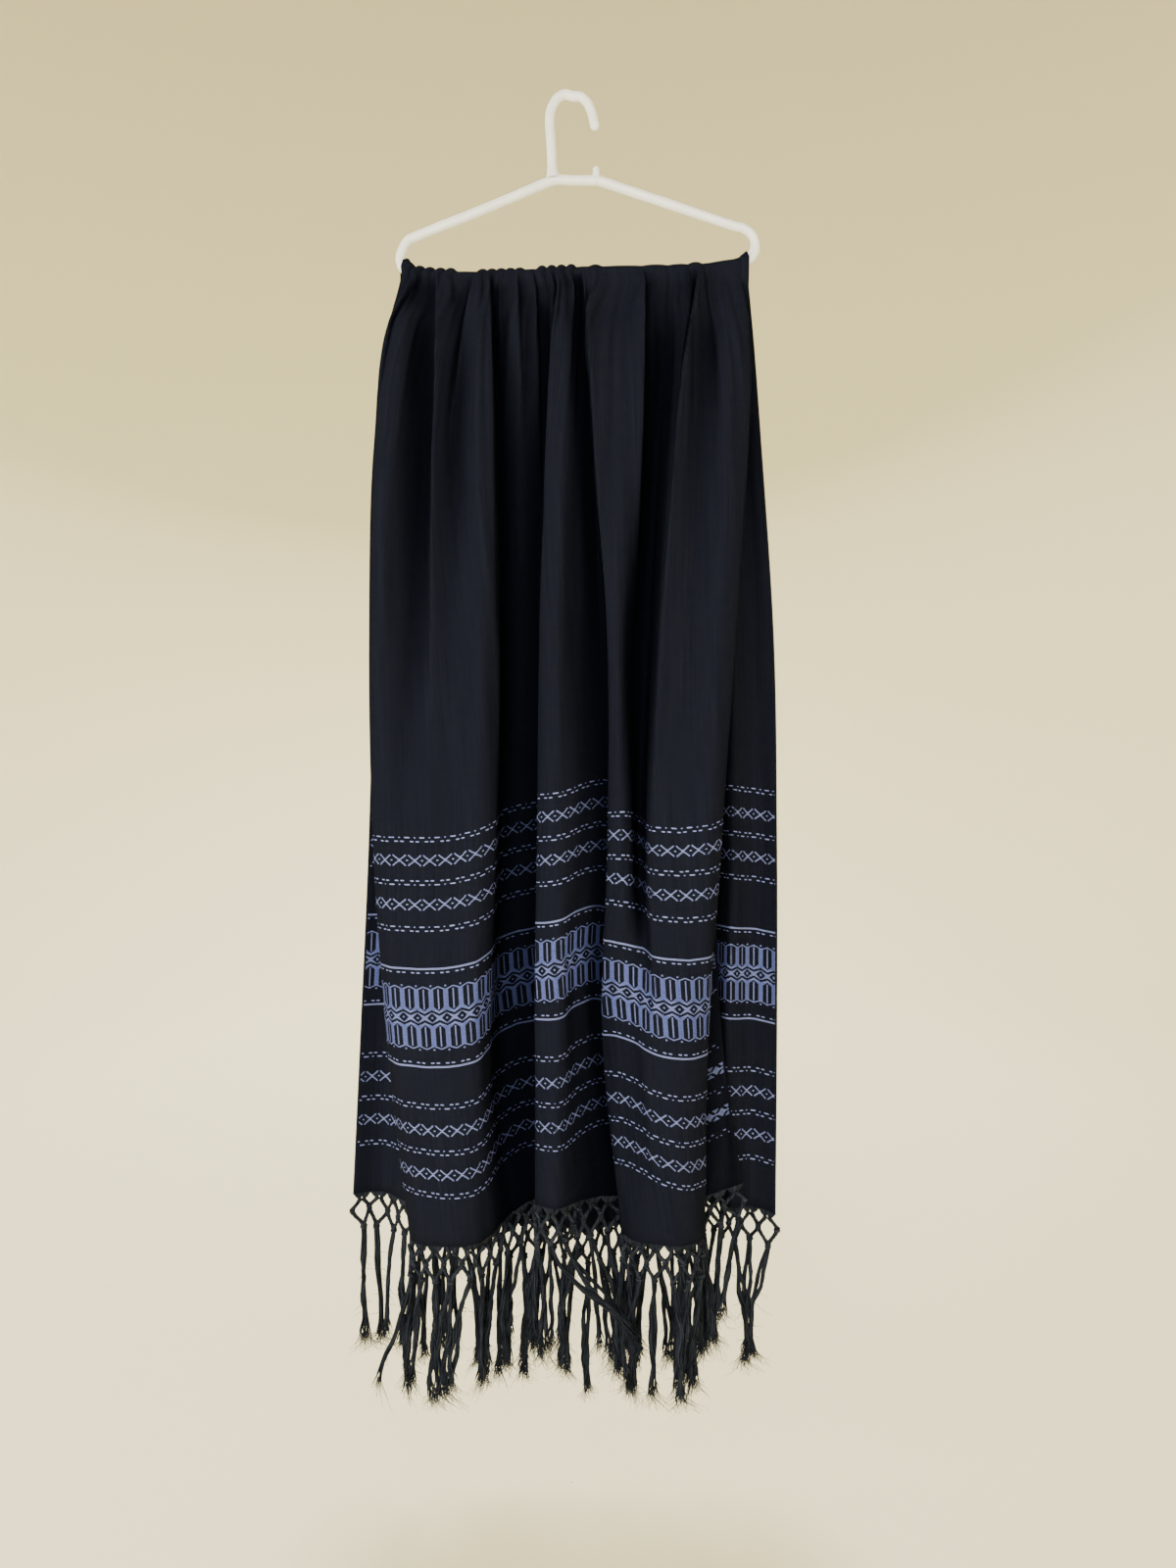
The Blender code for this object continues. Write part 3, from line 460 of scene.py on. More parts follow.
def band_heights(folds, side):
    """Height of the main band's middle above the hem, at each column."""
    row = fall_row(folds, side, BAND_SHARE)
    place = np.arange(len(row)) / SAMPLES_PER_FOLD
    above = np.interp(place, np.arange(len(folds)), [fold.hem - fold.band for fold in folds])
    heights = even_columns(np.column_stack((row, above)))[:, 3]
    weights = np.full(2 * BAND_SMOOTH + 1, 1.0 / (2 * BAND_SMOOTH + 1))
    return np.convolve(np.pad(heights, BAND_SMOOTH, mode="edge"), weights, mode="valid")


def fall_shares():
    """Shares of a fall at its rows: closer together where it is gathered or figured."""
    top = np.linspace(0.0, TOP_SHARE, TOP_ROWS, endpoint=False)
    middle = np.linspace(TOP_SHARE, MIDDLE_SHARE, MIDDLE_ROWS, endpoint=False)
    low = np.linspace(MIDDLE_SHARE, 1.0, PATTERN_ROWS + 1)
    return np.concatenate((top, middle, low))


def grid_normals(grid):
    """Unit normals of a grid of points, out of the front and out of the back."""
    right = np.gradient(grid, axis=1)
    down = np.gradient(grid, axis=0)
    normals = np.cross(down, right)
    return normals / np.linalg.norm(normals, axis=2)[:, :, None]


class Fall:
    """One hanging half of the cloth: its points, its normals and how to read them."""

    def __init__(self, folds, side):
        self.side = side
        self.shares = fall_shares()
        rows = [even_columns(fall_row(folds, side, share)) for share in self.shares]
        self.points = np.array(rows)
        self.lengths = self.points[0, :, 2] - self.points[-1, :, 2]
        self.band = band_heights(folds, side)
        self.ripple()
        self.normals = grid_normals(self.points) * (1.0 if side < 0 else -1.0)
        # Painted shade for each point, from how shut in it lies between the folds.
        self.shade = np.array([row_shade(row) for row in self.points])

    def ripple(self):
        """Press the small ripples into the smooth folds, and the laps into the front."""
        normals = grid_normals(self.points)
        across = np.linspace(0.0, 1.0, COLUMNS + 1)[None, :]
        below = self.shares[:, None] * self.lengths[None, :]
        move = np.zeros_like(below)
        for index, wave in enumerate(RIPPLES):
            phase = 2.0 * math.pi * (wave.waves * across + wave.lean * below / RIPPLE_RUN)
            wander = 2.0 * math.pi * (across * WANDER_WAVES + index * WANDER_SHIFT)
            phase = phase + RIPPLE_WANDER * np.sin(wander + below / WANDER_RUN + self.side)
            fade = np.exp(-below / wave.fade) if wave.fade else np.ones_like(below)
            move += wave.height * fade * np.sin(phase)
        start = np.clip(below / RIPPLE_START, 0.0, 1.0)
        self.points = self.points + normals * (move * start)[:, :, None]
        if self.side < 0:
            for lap in FRONT_LAPS:
                self.lap_over(lap, below)

    def lap_over(self, lap, below):
        """Raise the cloth beside one sharp edge and let it drop on the other side."""
        share = np.clip(below / lap.length, 0.0, 1.0)
        bar, third, end = lap.across
        line = np.interp(share, (0.0, 1.0 / 3.0, 1.0), (bar, third, end))
        away = (self.points[:, :, 0] - line) * lap.side
        inward = np.maximum(-away, 0.0) / (lap.rise * LAP_SPAN)
        under = (1.0 + LAP_SINK) * np.exp(-(away / LAP_DROP) ** 2) \
            - LAP_SINK * np.exp(-np.maximum(-away, 0.0) / LAP_UNDER)
        profile = np.where(away > 0.0, (1.0 - np.clip(away / lap.reach, 0.0, 1.0)) ** 2, under)
        fade = np.clip(below / LAP_START, 0.0, 1.0) * (1.0 - share) ** LAP_FADE
        self.points[:, :, 1] += self.side * lap.rise * profile * fade
        drawn = LAP_TUCK * lap.rise * inward * np.exp(1.0 - inward) * fade
        self.points[:, :, 0] += drawn * lap.side

    def read_band(self, rise, column):
        """Points, normals and shade a rise (mm) above the main band's middle."""
        return self.read(rise + np.interp(column, np.arange(COLUMNS + 1.0), self.band), column)

    def read(self, drop, column):
        """Points, normals and shade a drop (mm) above the hem. Columns may be fractions."""
        column = np.clip(column, 0.0, COLUMNS - 1e-6)
        left = column.astype(int)
        part = column - left
        length = self.lengths[left] * (1.0 - part) + self.lengths[left + 1] * part
        place = np.interp(1.0 - drop / length, self.shares, np.arange(len(self.shares)))
        place = np.clip(place, 0.0, len(self.shares) - 1.000001)
        above = place.astype(int)
        low = place - above

        def blend(values):
            across, down = (part[:, None], low[:, None]) if values.ndim > 2 else (part, low)
            upper = values[above, left] * (1 - across) + values[above, left + 1] * across
            lower = values[above + 1, left] * (1 - across) \
                + values[above + 1, left + 1] * across
            return upper * (1 - down) + lower * down

        return blend(self.points), blend(self.normals), blend(self.shade)

    def column_turns(self, rise):
        """Degrees that the cloth turns at each column line, a rise above the band."""
        points, _, _ = self.read_band(np.full(COLUMNS + 1, rise), np.arange(COLUMNS + 1.0))
        along = np.diff(points[:, :2], axis=0)
        heading = np.unwrap(np.arctan2(along[:, 1], along[:, 0]))
        turns = np.zeros(COLUMNS + 1)
        turns[1:-1] = np.degrees(np.abs(np.diff(heading)))
        return turns


def wrap_rows(folds, side):
    """Rows of the cloth over the bar, from its side up to the crest."""
    angles = np.linspace(90.0, 0.0, WRAP_STEPS, endpoint=False)[1:]
    return [even_columns(fall_row(folds, side, 0.0, angle)) for angle in angles]


def new_mesh(name, points, faces):
    """Make a mesh object from arrays of points (mm) and of faces with equal corners."""
    faces = np.asarray(faces, dtype=np.int32)
    mesh = bpy.data.meshes.new(name)
    mesh.vertices.add(len(points))
    mesh.vertices.foreach_set("co", (np.asarray(points) * MM).astype(np.float32).ravel())
    corners = faces.shape[1]
    mesh.loops.add(faces.size)
    mesh.loops.foreach_set("vertex_index", faces.ravel())
    mesh.polygons.add(len(faces))
    mesh.polygons.foreach_set("loop_start", np.arange(0, faces.size, corners, dtype=np.int32))
    mesh.update(calc_edges=True)
    mesh.validate()
    mesh.shade_smooth()
    made = bpy.data.objects.new(name, mesh)
    bpy.context.scene.collection.objects.link(made)
    return made


def grid_faces(rows, columns, start=0, flip=False):
    """Square faces over a grid of rows and columns of points."""
    numbers = np.arange(rows * columns).reshape(rows, columns) + start
    a, b = numbers[:-1, :-1].ravel(), numbers[:-1, 1:].ravel()
    d, c = numbers[1:, :-1].ravel(), numbers[1:, 1:].ravel()
    return np.stack((a, b, c, d) if flip else (a, d, c, b), axis=1)


def ring_faces(rings, sides, start=0, closed=False):
    """Square faces along a run of rings of points, and on to the first if closed."""
    numbers = np.arange(rings * sides).reshape(rings, sides) + start
    after = np.roll(numbers, -1, axis=1)
    faces = np.stack((numbers, after, np.roll(after, -1, axis=0),
                      np.roll(numbers, -1, axis=0)), axis=2)
    return (faces if closed else faces[:-1]).reshape(-1, 4)


def length_along(path):
    """Distance along a path at each of its points."""
    steps = np.linalg.norm(np.diff(path, axis=0), axis=1)
    return np.concatenate(((0.0,), np.cumsum(steps)))


def build_cloth(front, back):
    """One thin shell: up the front fall, over the bar and down the back fall."""
    front_wrap = wrap_rows(FRONT_FOLDS, -1)
    back_wrap = wrap_rows(BACK_FOLDS, 1)
    crest = even_columns(fall_row(FRONT_FOLDS, -1, 0.0, 0.0))
    rows = list(front.points[::-1]) + front_wrap + [crest] + back_wrap[::-1] + list(back.points)
    grid = np.array(rows)
    normals = -grid_normals(grid)
    half = CLOTH_THICK / 2
    outer = grid + normals * half
    inner = grid - normals * half
    count, columns = grid.shape[:2]
    total = count * columns
    numbers = np.arange(total).reshape(count, columns)
    rim = np.concatenate((numbers[0, :-1], numbers[:-1, -1], numbers[-1, :0:-1],
                          numbers[:0:-1, 0]))
    after = np.roll(rim, -1)
    faces = np.concatenate((
        grid_faces(count, columns, 0, flip=True),
        grid_faces(count, columns, total),
        np.stack((after, rim, rim + total, after + total), axis=1),
    ))
    points = np.concatenate((outer.reshape(-1, 3), inner.reshape(-1, 3)))
    cloth = new_mesh("rebozo_cloth", points, faces)
    run = length_along(grid[:, COLUMNS // 2])
    across = np.tile(np.linspace(0.0, CLOTH_WIDTH, columns), (count, 1))
    along = np.tile(run[:, None], (1, columns))
    add_uv(cloth, np.concatenate((across.ravel(), across.ravel())),
           np.concatenate((along.ravel(), along.ravel())))
    # Painted shade on the outer faces; the inner faces get none.
    shade = np.array([row_shade(row) for row in grid])
    add_value(cloth, "painted_fold_shade", np.concatenate((shade, np.zeros_like(shade))))
    return cloth, float(run[-1])


def row_shade(row):
    """How shut in each point of a level row lies between its neighbours, from 0 to 1, which sets how much
    painted shade its colour gets.
    """
    place, out = row[:, 0], np.abs(row[:, 1])
    aside = place[None, :] - place[:, None]
    higher = np.maximum(out[None, :] - out[:, None], 0.0)
    angle = np.degrees(np.arctan2(higher, np.abs(aside) + SHUT_SOFT))
    angle = np.where(np.abs(aside) < SHUT_REACH, angle, 0.0)
    left = np.max(np.where(aside < 0.0, angle, 0.0), axis=1)
    right = np.max(np.where(aside > 0.0, angle, 0.0), axis=1)
    share = np.clip((left + right - SHUT_FROM) / (SHUT_TO - SHUT_FROM), 0.0, 1.0)
    return share * share * (3.0 - 2.0 * share)


def add_value(made, name, values):
    """Store one value for each point of a piece, for its material to read."""
    layer = made.data.attributes.new(name, "FLOAT", "POINT")
    layer.data.foreach_set("value", np.asarray(values).astype(np.float32).ravel())


def add_uv(made, across, along):
    """Give a piece the cloth's own coordinates, in metres across and along it."""
    mesh = made.data
    corner = np.empty(len(mesh.loops), dtype=np.int32)
    mesh.loops.foreach_get("vertex_index", corner)
    layer = mesh.uv_layers.new(name="cloth")
    layer.data.foreach_set("uv", (np.stack((across[corner], along[corner]), axis=1)
                                  * MM).astype(np.float32).ravel())


# --------------------------------------------------------------- figured weave


def runs_of(test, samples=64):
    """Intervals of one repeat, in cells, where a test of the cell's place is true."""
    step = REPEAT_CELLS / samples
    lit = [bool(test((index + 0.5) * step)) for index in range(samples)]
    if all(lit):
        return [(0.0, REPEAT_CELLS)]
    runs = []
    first = lit.index(False)
    start = None
    for offset in range(1, samples + 1):
        index = first + offset
        if lit[index % samples] and start is None:
            start = index
        if not lit[index % samples] and start is not None:
            runs.append((start * step, index * step))
            start = None
    return runs


def from_middle(place, middle):
    """Distance in cells from the nearest copy of a motif's middle."""
    return abs((place - middle + REPEAT_CELLS / 2) % REPEAT_CELLS - REPEAT_CELLS / 2)


# The band's motifs, in cells across and rows from the band's middle. Hexagons
# stand over cell 8, and the small diamonds between them are centred on cell 0.
BAND_HALF = 35.2
HEXAGON_HALF = 5.3
HEXAGON_TIP = 7.3
HEXAGON_SLOPE = 0.83
SPINE_HALF = 0.72
SPINE_ROWS = (9.1, 31.1)
ROOF_PEAK = 34.4
ROOF_DROP = 3.2
ROOF_THICK = 1.5
ROOF_FLAT = 0.5
ROOF_DOT = 0.9
ZIGZAG_PEAK = 7.2
ZIGZAG_DROP = 3.7
ZIGZAG_HALF = 1.3
RING_HALF = (5.4, 5.3)
RING_DOT = (1.2, 1.2)


def band_cell(place, row):
    """Whether the main band is pale at a place, a number of rows from its middle."""
    row = abs(row)
    from_hexagon = from_middle(place, 8.0)
    from_diamond = from_middle(place, 0.0)
    roof = ROOF_PEAK - ROOF_DROP * max(0.0, from_hexagon - ROOF_FLAT) / (8.0 - ROOF_FLAT)
    if row > roof:
        return from_diamond < ROOF_DOT and row > ROOF_PEAK - 0.6
    if row > roof - ROOF_THICK:
        return True
    tip = HEXAGON_TIP + HEXAGON_SLOPE * from_hexagon
    if from_hexagon < HEXAGON_HALF and row > tip:
        return from_hexagon < SPINE_HALF and SPINE_ROWS[0] < row < SPINE_ROWS[1]
    zigzag = ZIGZAG_PEAK - ZIGZAG_DROP * from_diamond / 8.0
    if abs(row - zigzag) < ZIGZAG_HALF:
        return False
    if row < zigzag:
        ring = from_diamond / RING_HALF[0] + row / RING_HALF[1]
        if ring < 1.0:
            return from_diamond < RING_DOT[0] and row < RING_DOT[1]
    return True


# Small crossed zigzags: rows each way, mm from row to row, slope in rows to a cell.
DIAMOND_ROWS = 5
DIAMOND_STEP = 1.12
DIAMOND_HIGH = 1.14
DIAMOND_SLOPE = 0.77
DIAMOND_REACH = 6.9
DIAMOND_LINE = 0.92
DIAMOND_DOT = ((7.0, 9.0),)
DOT_HIGH = 2.0


def diamond_cell(place, row):
    """Whether a row of crossed zigzags is pale: they cross at cell 0."""
    from_cross = from_middle(place, 0.0)
    near = abs(abs(row) - DIAMOND_SLOPE * from_cross) < DIAMOND_LINE
    return from_cross < DIAMOND_REACH and near


Line = namedtuple("Line", "rise high pale runs")
PAIRS = ((11.0, 15.0), (17.0, 21.0))
LONG_AND_DOT = ((5.0, 11.0), (15.2, 16.8))
DASH_GAP = 4.3               # mm between the two rows of a dashed line
REVERSE_INSET = 0.9          # cells by which a float is shorter on the reverse
SOLID = tuple((cell, cell + 2.0) for cell in np.arange(0.0, 16.0, 2.0))


def band_lines(step):
    """Rows of the main band, a step apart."""
    lines = []
    half = int(BAND_HALF / step)
    for index in range(-half, half + 1):
        row = index * step
        runs = runs_of(lambda place, row=row: band_cell(place, row))
        outline = not OUTLINE_ROWS[0] < abs(row) < OUTLINE_ROWS[1]
        lines.append(Line(row, FLOAT_FILL * step, OUTLINE_PALENESS * outline, runs))
    return lines


def end_lines(end, step):
    """All rows of one end: rise above the band's middle, height, paleness and runs."""
    lines = band_lines(step)
    for way in (-1, 1):
        for offset in (LINE_SPREAD, -LINE_SPREAD):
            lines.append(Line(way * (end.line + offset), LINE_HIGH, 1.0, SOLID))
        lines.append(Line(way * end.pairs, DASH_HIGH, 1.0, PAIRS))
        for distance, near, far in ((end.dashes_1, PAIRS, LONG_AND_DOT),
                                    (end.dashes_2, LONG_AND_DOT, PAIRS),
                                    (end.dashes_3, PAIRS, LONG_AND_DOT)):
            for offset, runs in ((-DASH_GAP / 2, near), (DASH_GAP / 2, far)):
                lines.append(Line(way * (distance + offset), DASH_HIGH, 1.0, runs))
        for distance in (end.diamonds_1, end.diamonds_2):
            lines.append(Line(way * distance, DOT_HIGH, 1.0, DIAMOND_DOT))
            for row in range(-DIAMOND_ROWS, DIAMOND_ROWS + 1):
                runs = runs_of(lambda place, row=row: diamond_cell(place, row))
                rise = way * distance + row * DIAMOND_STEP
                lines.append(Line(rise, DIAMOND_HIGH, 1.0, runs))
    return lines


def other_runs(runs):
    """The gaps between a row's runs, which is how the row looks from the reverse."""
    if sum(end - start for start, end in runs) > REPEAT_CELLS - 0.5:
        return []
    ordered = sorted(((start % REPEAT_CELLS, end - start) for start, end in runs))
    gaps = []
    for index, (start, length) in enumerate(ordered):
        following = ordered[(index + 1) % len(ordered)][0]
        if index == len(ordered) - 1:
            following += REPEAT_CELLS
        if following - start - length > 2 * REVERSE_INSET + 0.4:
            gaps.append((start + length + REVERSE_INSET, following - REVERSE_INSET))
    return gaps


def spread_runs(runs, low, high):
    """Start and end, mm across the cloth, of every copy of a row's runs inside limits."""
    copies = np.arange(-1, int(REPEATS) + 2)[:, None] * REPEAT_CELLS
    table = np.array(runs).reshape(-1, 2)
    starts = ((copies + table[None, :, 0]) * CELL).ravel()
    ends = ((copies + table[None, :, 1]) * CELL).ravel()
    starts, ends = np.maximum(starts, low), np.minimum(ends, high)
    keep = ends - starts > SHORTEST_FLOAT
    return starts[keep], ends[keep]


def float_stations(start, end, turns, flat):
    """Places along one float where its shape is given: ends, shoulders and cloth bends."""
    pitch = CLOTH_WIDTH / COLUMNS
    if end - start < SHORT_FLOAT and not flat:
        return (start, end)
    inset = 0.0 if flat else FLOAT_INSET
    first = int(math.ceil((start + inset + STATION_GAP) / pitch))
    last = int(math.floor((end - inset - STATION_GAP) / pitch))
    bends = []
    turned = 0.0
    for line in range(first, last + 1):
        turned += turns[line]
        if turned > FLAT_TURN:
            bends.append(line * pitch)
            turned = 0.0
    shoulders = ((), ()) if flat else ((start + inset,), (end - inset,))
    return (start, *shoulders[0], *bends, *shoulders[1], end)


def weave_floats(name, fall, lines, face, low, high, reverse_from=None, flat=False):
    """All pale floats on one face of a fall, as one mesh.

    face is 1 for the face turned away from the other fall and -1 for the inner face.
    Past reverse_from, mm across, the cloth shows the reverse of the pattern.
    """
    stations, counts = [], []
    for line in lines:
        turns = fall.column_turns(line.rise)
        middle = (line.rise, line.high, 1.0, line.pale)
        spans = [(line.runs, low, high if reverse_from is None else reverse_from)]
        if reverse_from is not None:
            spans.append((other_runs(line.runs), reverse_from, high))
        for runs, near, far in spans:
            for start, end in zip(*spread_runs(runs, near, far)):
                first, *inner, last = float_stations(start, end, turns, flat)
                pinch, lift = (PINCH, 0.0) if inner else (SHORT_PINCH, SHORT_LIFT)
                tip = (line.rise, line.high * pinch, lift, 1.0)
                stations.append((first, *tip))
                stations.extend((place, *middle) for place in inner)
                stations.append((last, *tip))
                counts.append(len(inner) + 2)
    return float_mesh(name, fall, face, flat, np.array(stations), np.array(counts))


def float_mesh(name, fall, face, flat, stations, counts):
    """The mesh of many floats, each a low ridge that is pinched at its ends.

    A station is a place across, a rise above the band's middle, the float's height, the
    share of the ridge's lift and the paleness. counts says how many each float has.
    """
    places, drops, highs, lifts, pales = stations.T
    column = places / CLOTH_WIDTH * COLUMNS
    base = CLOTH_THICK / 2 - FLOAT_SINK
    ridge = CLOTH_THICK / 2 + FLOAT_RISE
    edge = np.full_like(places, CLOTH_THICK / 2 + FLAT_LIFT if flat else base)
    if flat:
        layers = ((0.5, edge), (-0.5, edge))
        highs = np.minimum(highs, PLAIN_ROW * FLOAT_FILL)
    else:
        top = base + (ridge - base) * (END_LIFT + (1.0 - END_LIFT) * lifts)
        layers = ((0.5, edge), (0.0, top), (-0.5, edge))
    stack = []
    for share, lift in layers:
        points, normals, shade = fall.read_band(drops + share * highs, column)
        stack.append(points + normals * (lift * face)[:, None])
    deep = len(layers)
    last = np.zeros(len(places), dtype=bool)
    last[np.cumsum(counts) - 1] = True
    station = np.flatnonzero(~last)
    faces = []
    for layer in range(deep - 1):
        a = station * deep + layer
        quad = (a, a + 1, a + deep + 1, a + deep)
        faces.append(np.stack(quad if face * fall.side < 0 else quad[::-1], axis=1))
    made = new_mesh(name, np.stack(stack, axis=1).reshape(-1, 3), np.concatenate(faces))
    along = np.stack([drops + share * highs for share, _ in layers], axis=1).ravel()
    add_uv(made, np.repeat(places, deep), along)
    # Painted shade from the cloth under each float, on the outer faces only.
    add_value(made, "painted_fold_shade", np.repeat(shade if face > 0 else shade * 0.0, deep))
    add_value(made, "paleness", np.repeat(pales, deep))
    return made


# ---------------------------------------------------------------------- fringe


def unit(vector):
    """The vector at a length of 1."""
    return vector / np.linalg.norm(vector)


def coil(line, side, front, reach, turn, squash=1.0):
    """A path that winds round a line, a reach from it, at the given turns."""
    return line + side * (reach * np.cos(turn))[:, None] \
        + front * (reach * squash * np.sin(turn))[:, None]


class YarnMesh:
    """Collects thin tubes of yarn as one mesh."""

    def __init__(self):
        self.points, self.faces, self.across, self.along = [], [], [], []
        self.count = 0

    def sweep(self, path, radii, sides, facing):
        """A tube along a path. facing is a direction that the path never follows."""
        path = np.asarray(path, dtype=float)
        radii = np.asarray(radii, dtype=float)
        heading = np.gradient(path, axis=0)
        heading /= np.linalg.norm(heading, axis=1)[:, None] + 1e-9
        side = np.cross(heading, facing)
        side /= np.linalg.norm(side, axis=1)[:, None] + 1e-9
        front = np.cross(side, heading)
        angle = 2.0 * math.pi * np.arange(sides) / sides
        ring = (side[:, None, :] * np.cos(angle)[None, :, None]
                + front[:, None, :] * np.sin(angle)[None, :, None])
        yarns = len(self.points)
        self.points.append((path[:, None, :] + ring * radii[:, None, None]).reshape(-1, 3))
        self.faces.append(ring_faces(len(path), sides, self.count))
        self.across.append(np.tile(angle * YARN_WRAP, len(path)) + yarns * YARN_APART[0])
        self.along.append(np.repeat(length_along(path), sides) + yarns * YARN_APART[1])
        self.count += len(path) * sides

    def make(self, name):
        """The mesh object of all the yarns."""
        made = new_mesh(name, np.concatenate(self.points), np.concatenate(self.faces))
        add_uv(made, np.concatenate(self.across), np.concatenate(self.along))
        return made


class Hem:
    """The cloth's lower edge, read by distance across the cloth in mm."""

    def __init__(self, fall):
        self.fall = fall

    def at(self, across):
        """Point on the hem, the direction along it and the direction out of the cloth."""
        column = np.array([across / CLOTH_WIDTH * COLUMNS])
        points, normals, _ = self.fall.read(np.zeros(1), column)
        out = unit(normals[0] * (1.0, 1.0, 0.0))
        along = np.array((out[1], -out[0], 0.0)) * self.fall.side
        return points[0], along, out


def add_cord(mesh, dice, start, end, out):
    """A cord of a few yarns twisted together, between two knots of the net."""
    phase = dice.uniform(0, 6)
    bow = dice.uniform(*CORD_BOW)
    share = np.linspace(0.0, 1.0, CORD_STEPS)
    sideways = share ** 2 * (3.0 - 2.0 * share) * CORD_EASE + share * (1.0 - CORD_EASE)
    line = start + (end - start) * sideways[:, None]
    line[:, 2] = start[2] + (end[2] - start[2]) * share
    line = line + out * (bow * np.sin(math.pi * share))[:, None]
    heading = unit(end - start)
    side = unit(np.cross(heading, out))
    front = np.cross(side, heading)
    reach = CORD_RADIUS * (0.72 + 0.28 * np.cos(2 * math.pi * share))
    for yarn in range(CORD_YARNS):
        turn = phase + 2.0 * math.pi * (yarn / CORD_YARNS + CORD_TURNS * share)
        path = coil(line, side, front, reach, turn)
        mesh.sweep(path, np.full(CORD_STEPS, CORD_YARN), 4, out)


def add_knot(mesh, dice, centre, along, out, sizes):
    """A knot: a short thick coil round the cords that meet."""
    phase = dice.uniform(0, 6)
    size = dice.uniform(*sizes)
    share = np.linspace(0.0, 1.0, KNOT_STEPS)
    turn = phase + 2.0 * math.pi * KNOT_TURNS * share
    rise = (share - 0.5) * -KNOT_HIGH * size + KNOT_WOBBLE * np.sin(turn)
    path = coil(centre, along, out, KNOT_RADIUS * size, turn, KNOT_SQUASH) \
        + UP * rise[:, None]
    thick = KNOT_TUBE * size * (0.7 + 0.3 * np.sin(math.pi * share))
    mesh.sweep(path, thick, 6, UP)


def add_strand(mesh, dice, top, along, out, length, pull, loose):
    """One strand of a tassel: loosely twisted yarns that fray at the free end."""
    share = np.linspace(0.0, 1.0, STRAND_STEPS)
    ease = 1.0 - (1.0 - np.minimum(share / 0.85, 1.0)) ** 1.8
    if np.linalg.norm(pull) > MOST_PULL:
        ease = share * (0.35 + 0.65 * share * (3.0 - 2.0 * share))
    wave = np.zeros(STRAND_STEPS)
    for swing, waves in STRAND_WAVES:
        height = dice.uniform(-swing, swing)
        wave = wave + height * np.sin(2.0 * math.pi * (share * waves + dice.uniform(0, 1)))
    wave = (wave - wave[0]) * np.minimum(share * 3.0, 1.0)
    line = top + pull * ease[:, None] + along * wave[:, None]
    line[:, 2] -= length * share
    start = dice.uniform(0.0, 2.0 * math.pi)
    turns = STRAND_TURNS * dice.uniform(*TURNS_VARY) * dice.choice((-1.0, 1.0))
    flare = np.clip((share - FRAY_FROM) / (1.0 - FRAY_FROM), 0.0, 1.0) ** 1.5
    thick = np.interp(share, *YARN_TAPER) * YARN_RADIUS
    for yarn in range(STRAND_YARNS):
        turn = start + 2.0 * math.pi * (yarn / STRAND_YARNS + turns * share)
        core = 1.0 if yarn % 2 else INNER_YARN
        reach = core * (1.0 + 0.45 * np.sin(math.pi * share) + 0.25 * loose * share)
        reach = reach * STRAND_SPREAD + flare * dice.uniform(*FRAY_REACH)
        path = coil(line, along, out, reach, turn)
        path[:, 2] -= share * dice.uniform(*YARN_ENDS)
        mesh.sweep(path, thick, 3, out)
    add_hairs(mesh, dice, line, along, out)


def add_hairs(mesh, dice, line, along, out):
    """Fine fibres: a tuft at a strand's end and a few loose ones on its side."""
    share = np.linspace(0.0, 1.0, HAIR_STEPS)
    thick = HAIR_RADIUS * (1.0 - HAIR_TAPER * share)
    for hair in range(HAIRS):
        tuft = hair < TUFT_HAIRS
        place = len(line) - 2 if tuft else int(dice.integers(3, len(line) - 2))
        start = line[place] + along * dice.uniform(*HAIR_ROOT) + out * dice.uniform(*HAIR_ROOT)
        if tuft:
            length = dice.uniform(*TUFT_LENGTH)
            spread = dice.uniform(*TUFT_SPREAD)
        else:
            length = dice.uniform(*LOOSE_LENGTH)
            spread = dice.choice((-1, 1)) * dice.uniform(*LOOSE_SPREAD)
        deep = dice.uniform(*HAIR_DEEP)
        curl = dice.uniform(*HAIR_CURL)
        bend = spread * share + curl * share ** 2 + HAIR_KINK * np.sin(9.0 * share + hair)
        path = start + along * (bend * length)[:, None] + out * (deep * share * length)[:, None]
        path[:, 2] -= length * share * (1.0 if tuft else dice.uniform(*LOOSE_DROP))
        mesh.sweep(path, thick, 3, out)


# Strands that are caught on a neighbour and hang far over: tassel, hand, lean in mm.
CAUGHT_FRONT = {(1, 0): -36.0, (9, 0): 15.0, (14, 1): 88.0, (15, 0): 80.0, (15, 1): 84.0,
                (17, 1): 40.0, (18, 0): 26.0, (23, 1): -16.0, (27, 1): -14.0, (30, 0): 14.0}
CAUGHT_BACK = {(6, 0): 14.0, (15, 1): -18.0, (24, 0): 12.0, (29, 1): -14.0}
CAUGHT_OUT = 0.2             # share of its lean by which a caught strand comes forward
ROOT_APART = 2.2             # mm from a tassel's middle to where its two root bunches meet
ROOT_DROP = 5.5
ROOT_RADII = (1.0, 1.15, 1.15)
HAND_APART = 2.8             # mm between a tassel's two strands at their knot
HAND_DROP = 1.5
PULL_LIFT = 0.25             # share of its lean by which a strand hangs less far
ROOT_SPREAD = 0.24           # of the pitch, each way, that a root bunch takes in
GROUP_SIZES = (1, 1, 2, 2, 3)


def net_row(dice, hem, places, drop):
    """Knot centres of one row of the net, with the hem's directions at each."""
    made = []
    for place in places:
        point, along, out = hem.at(place)
        shift = dice.normal(0.0, NET_JITTER, 3)
        centre = point - UP * (drop + shift[2]) + along * shift[0] \
            + out * shift[1] * JITTER_OUT
        made.append((centre, along, out))
    return made


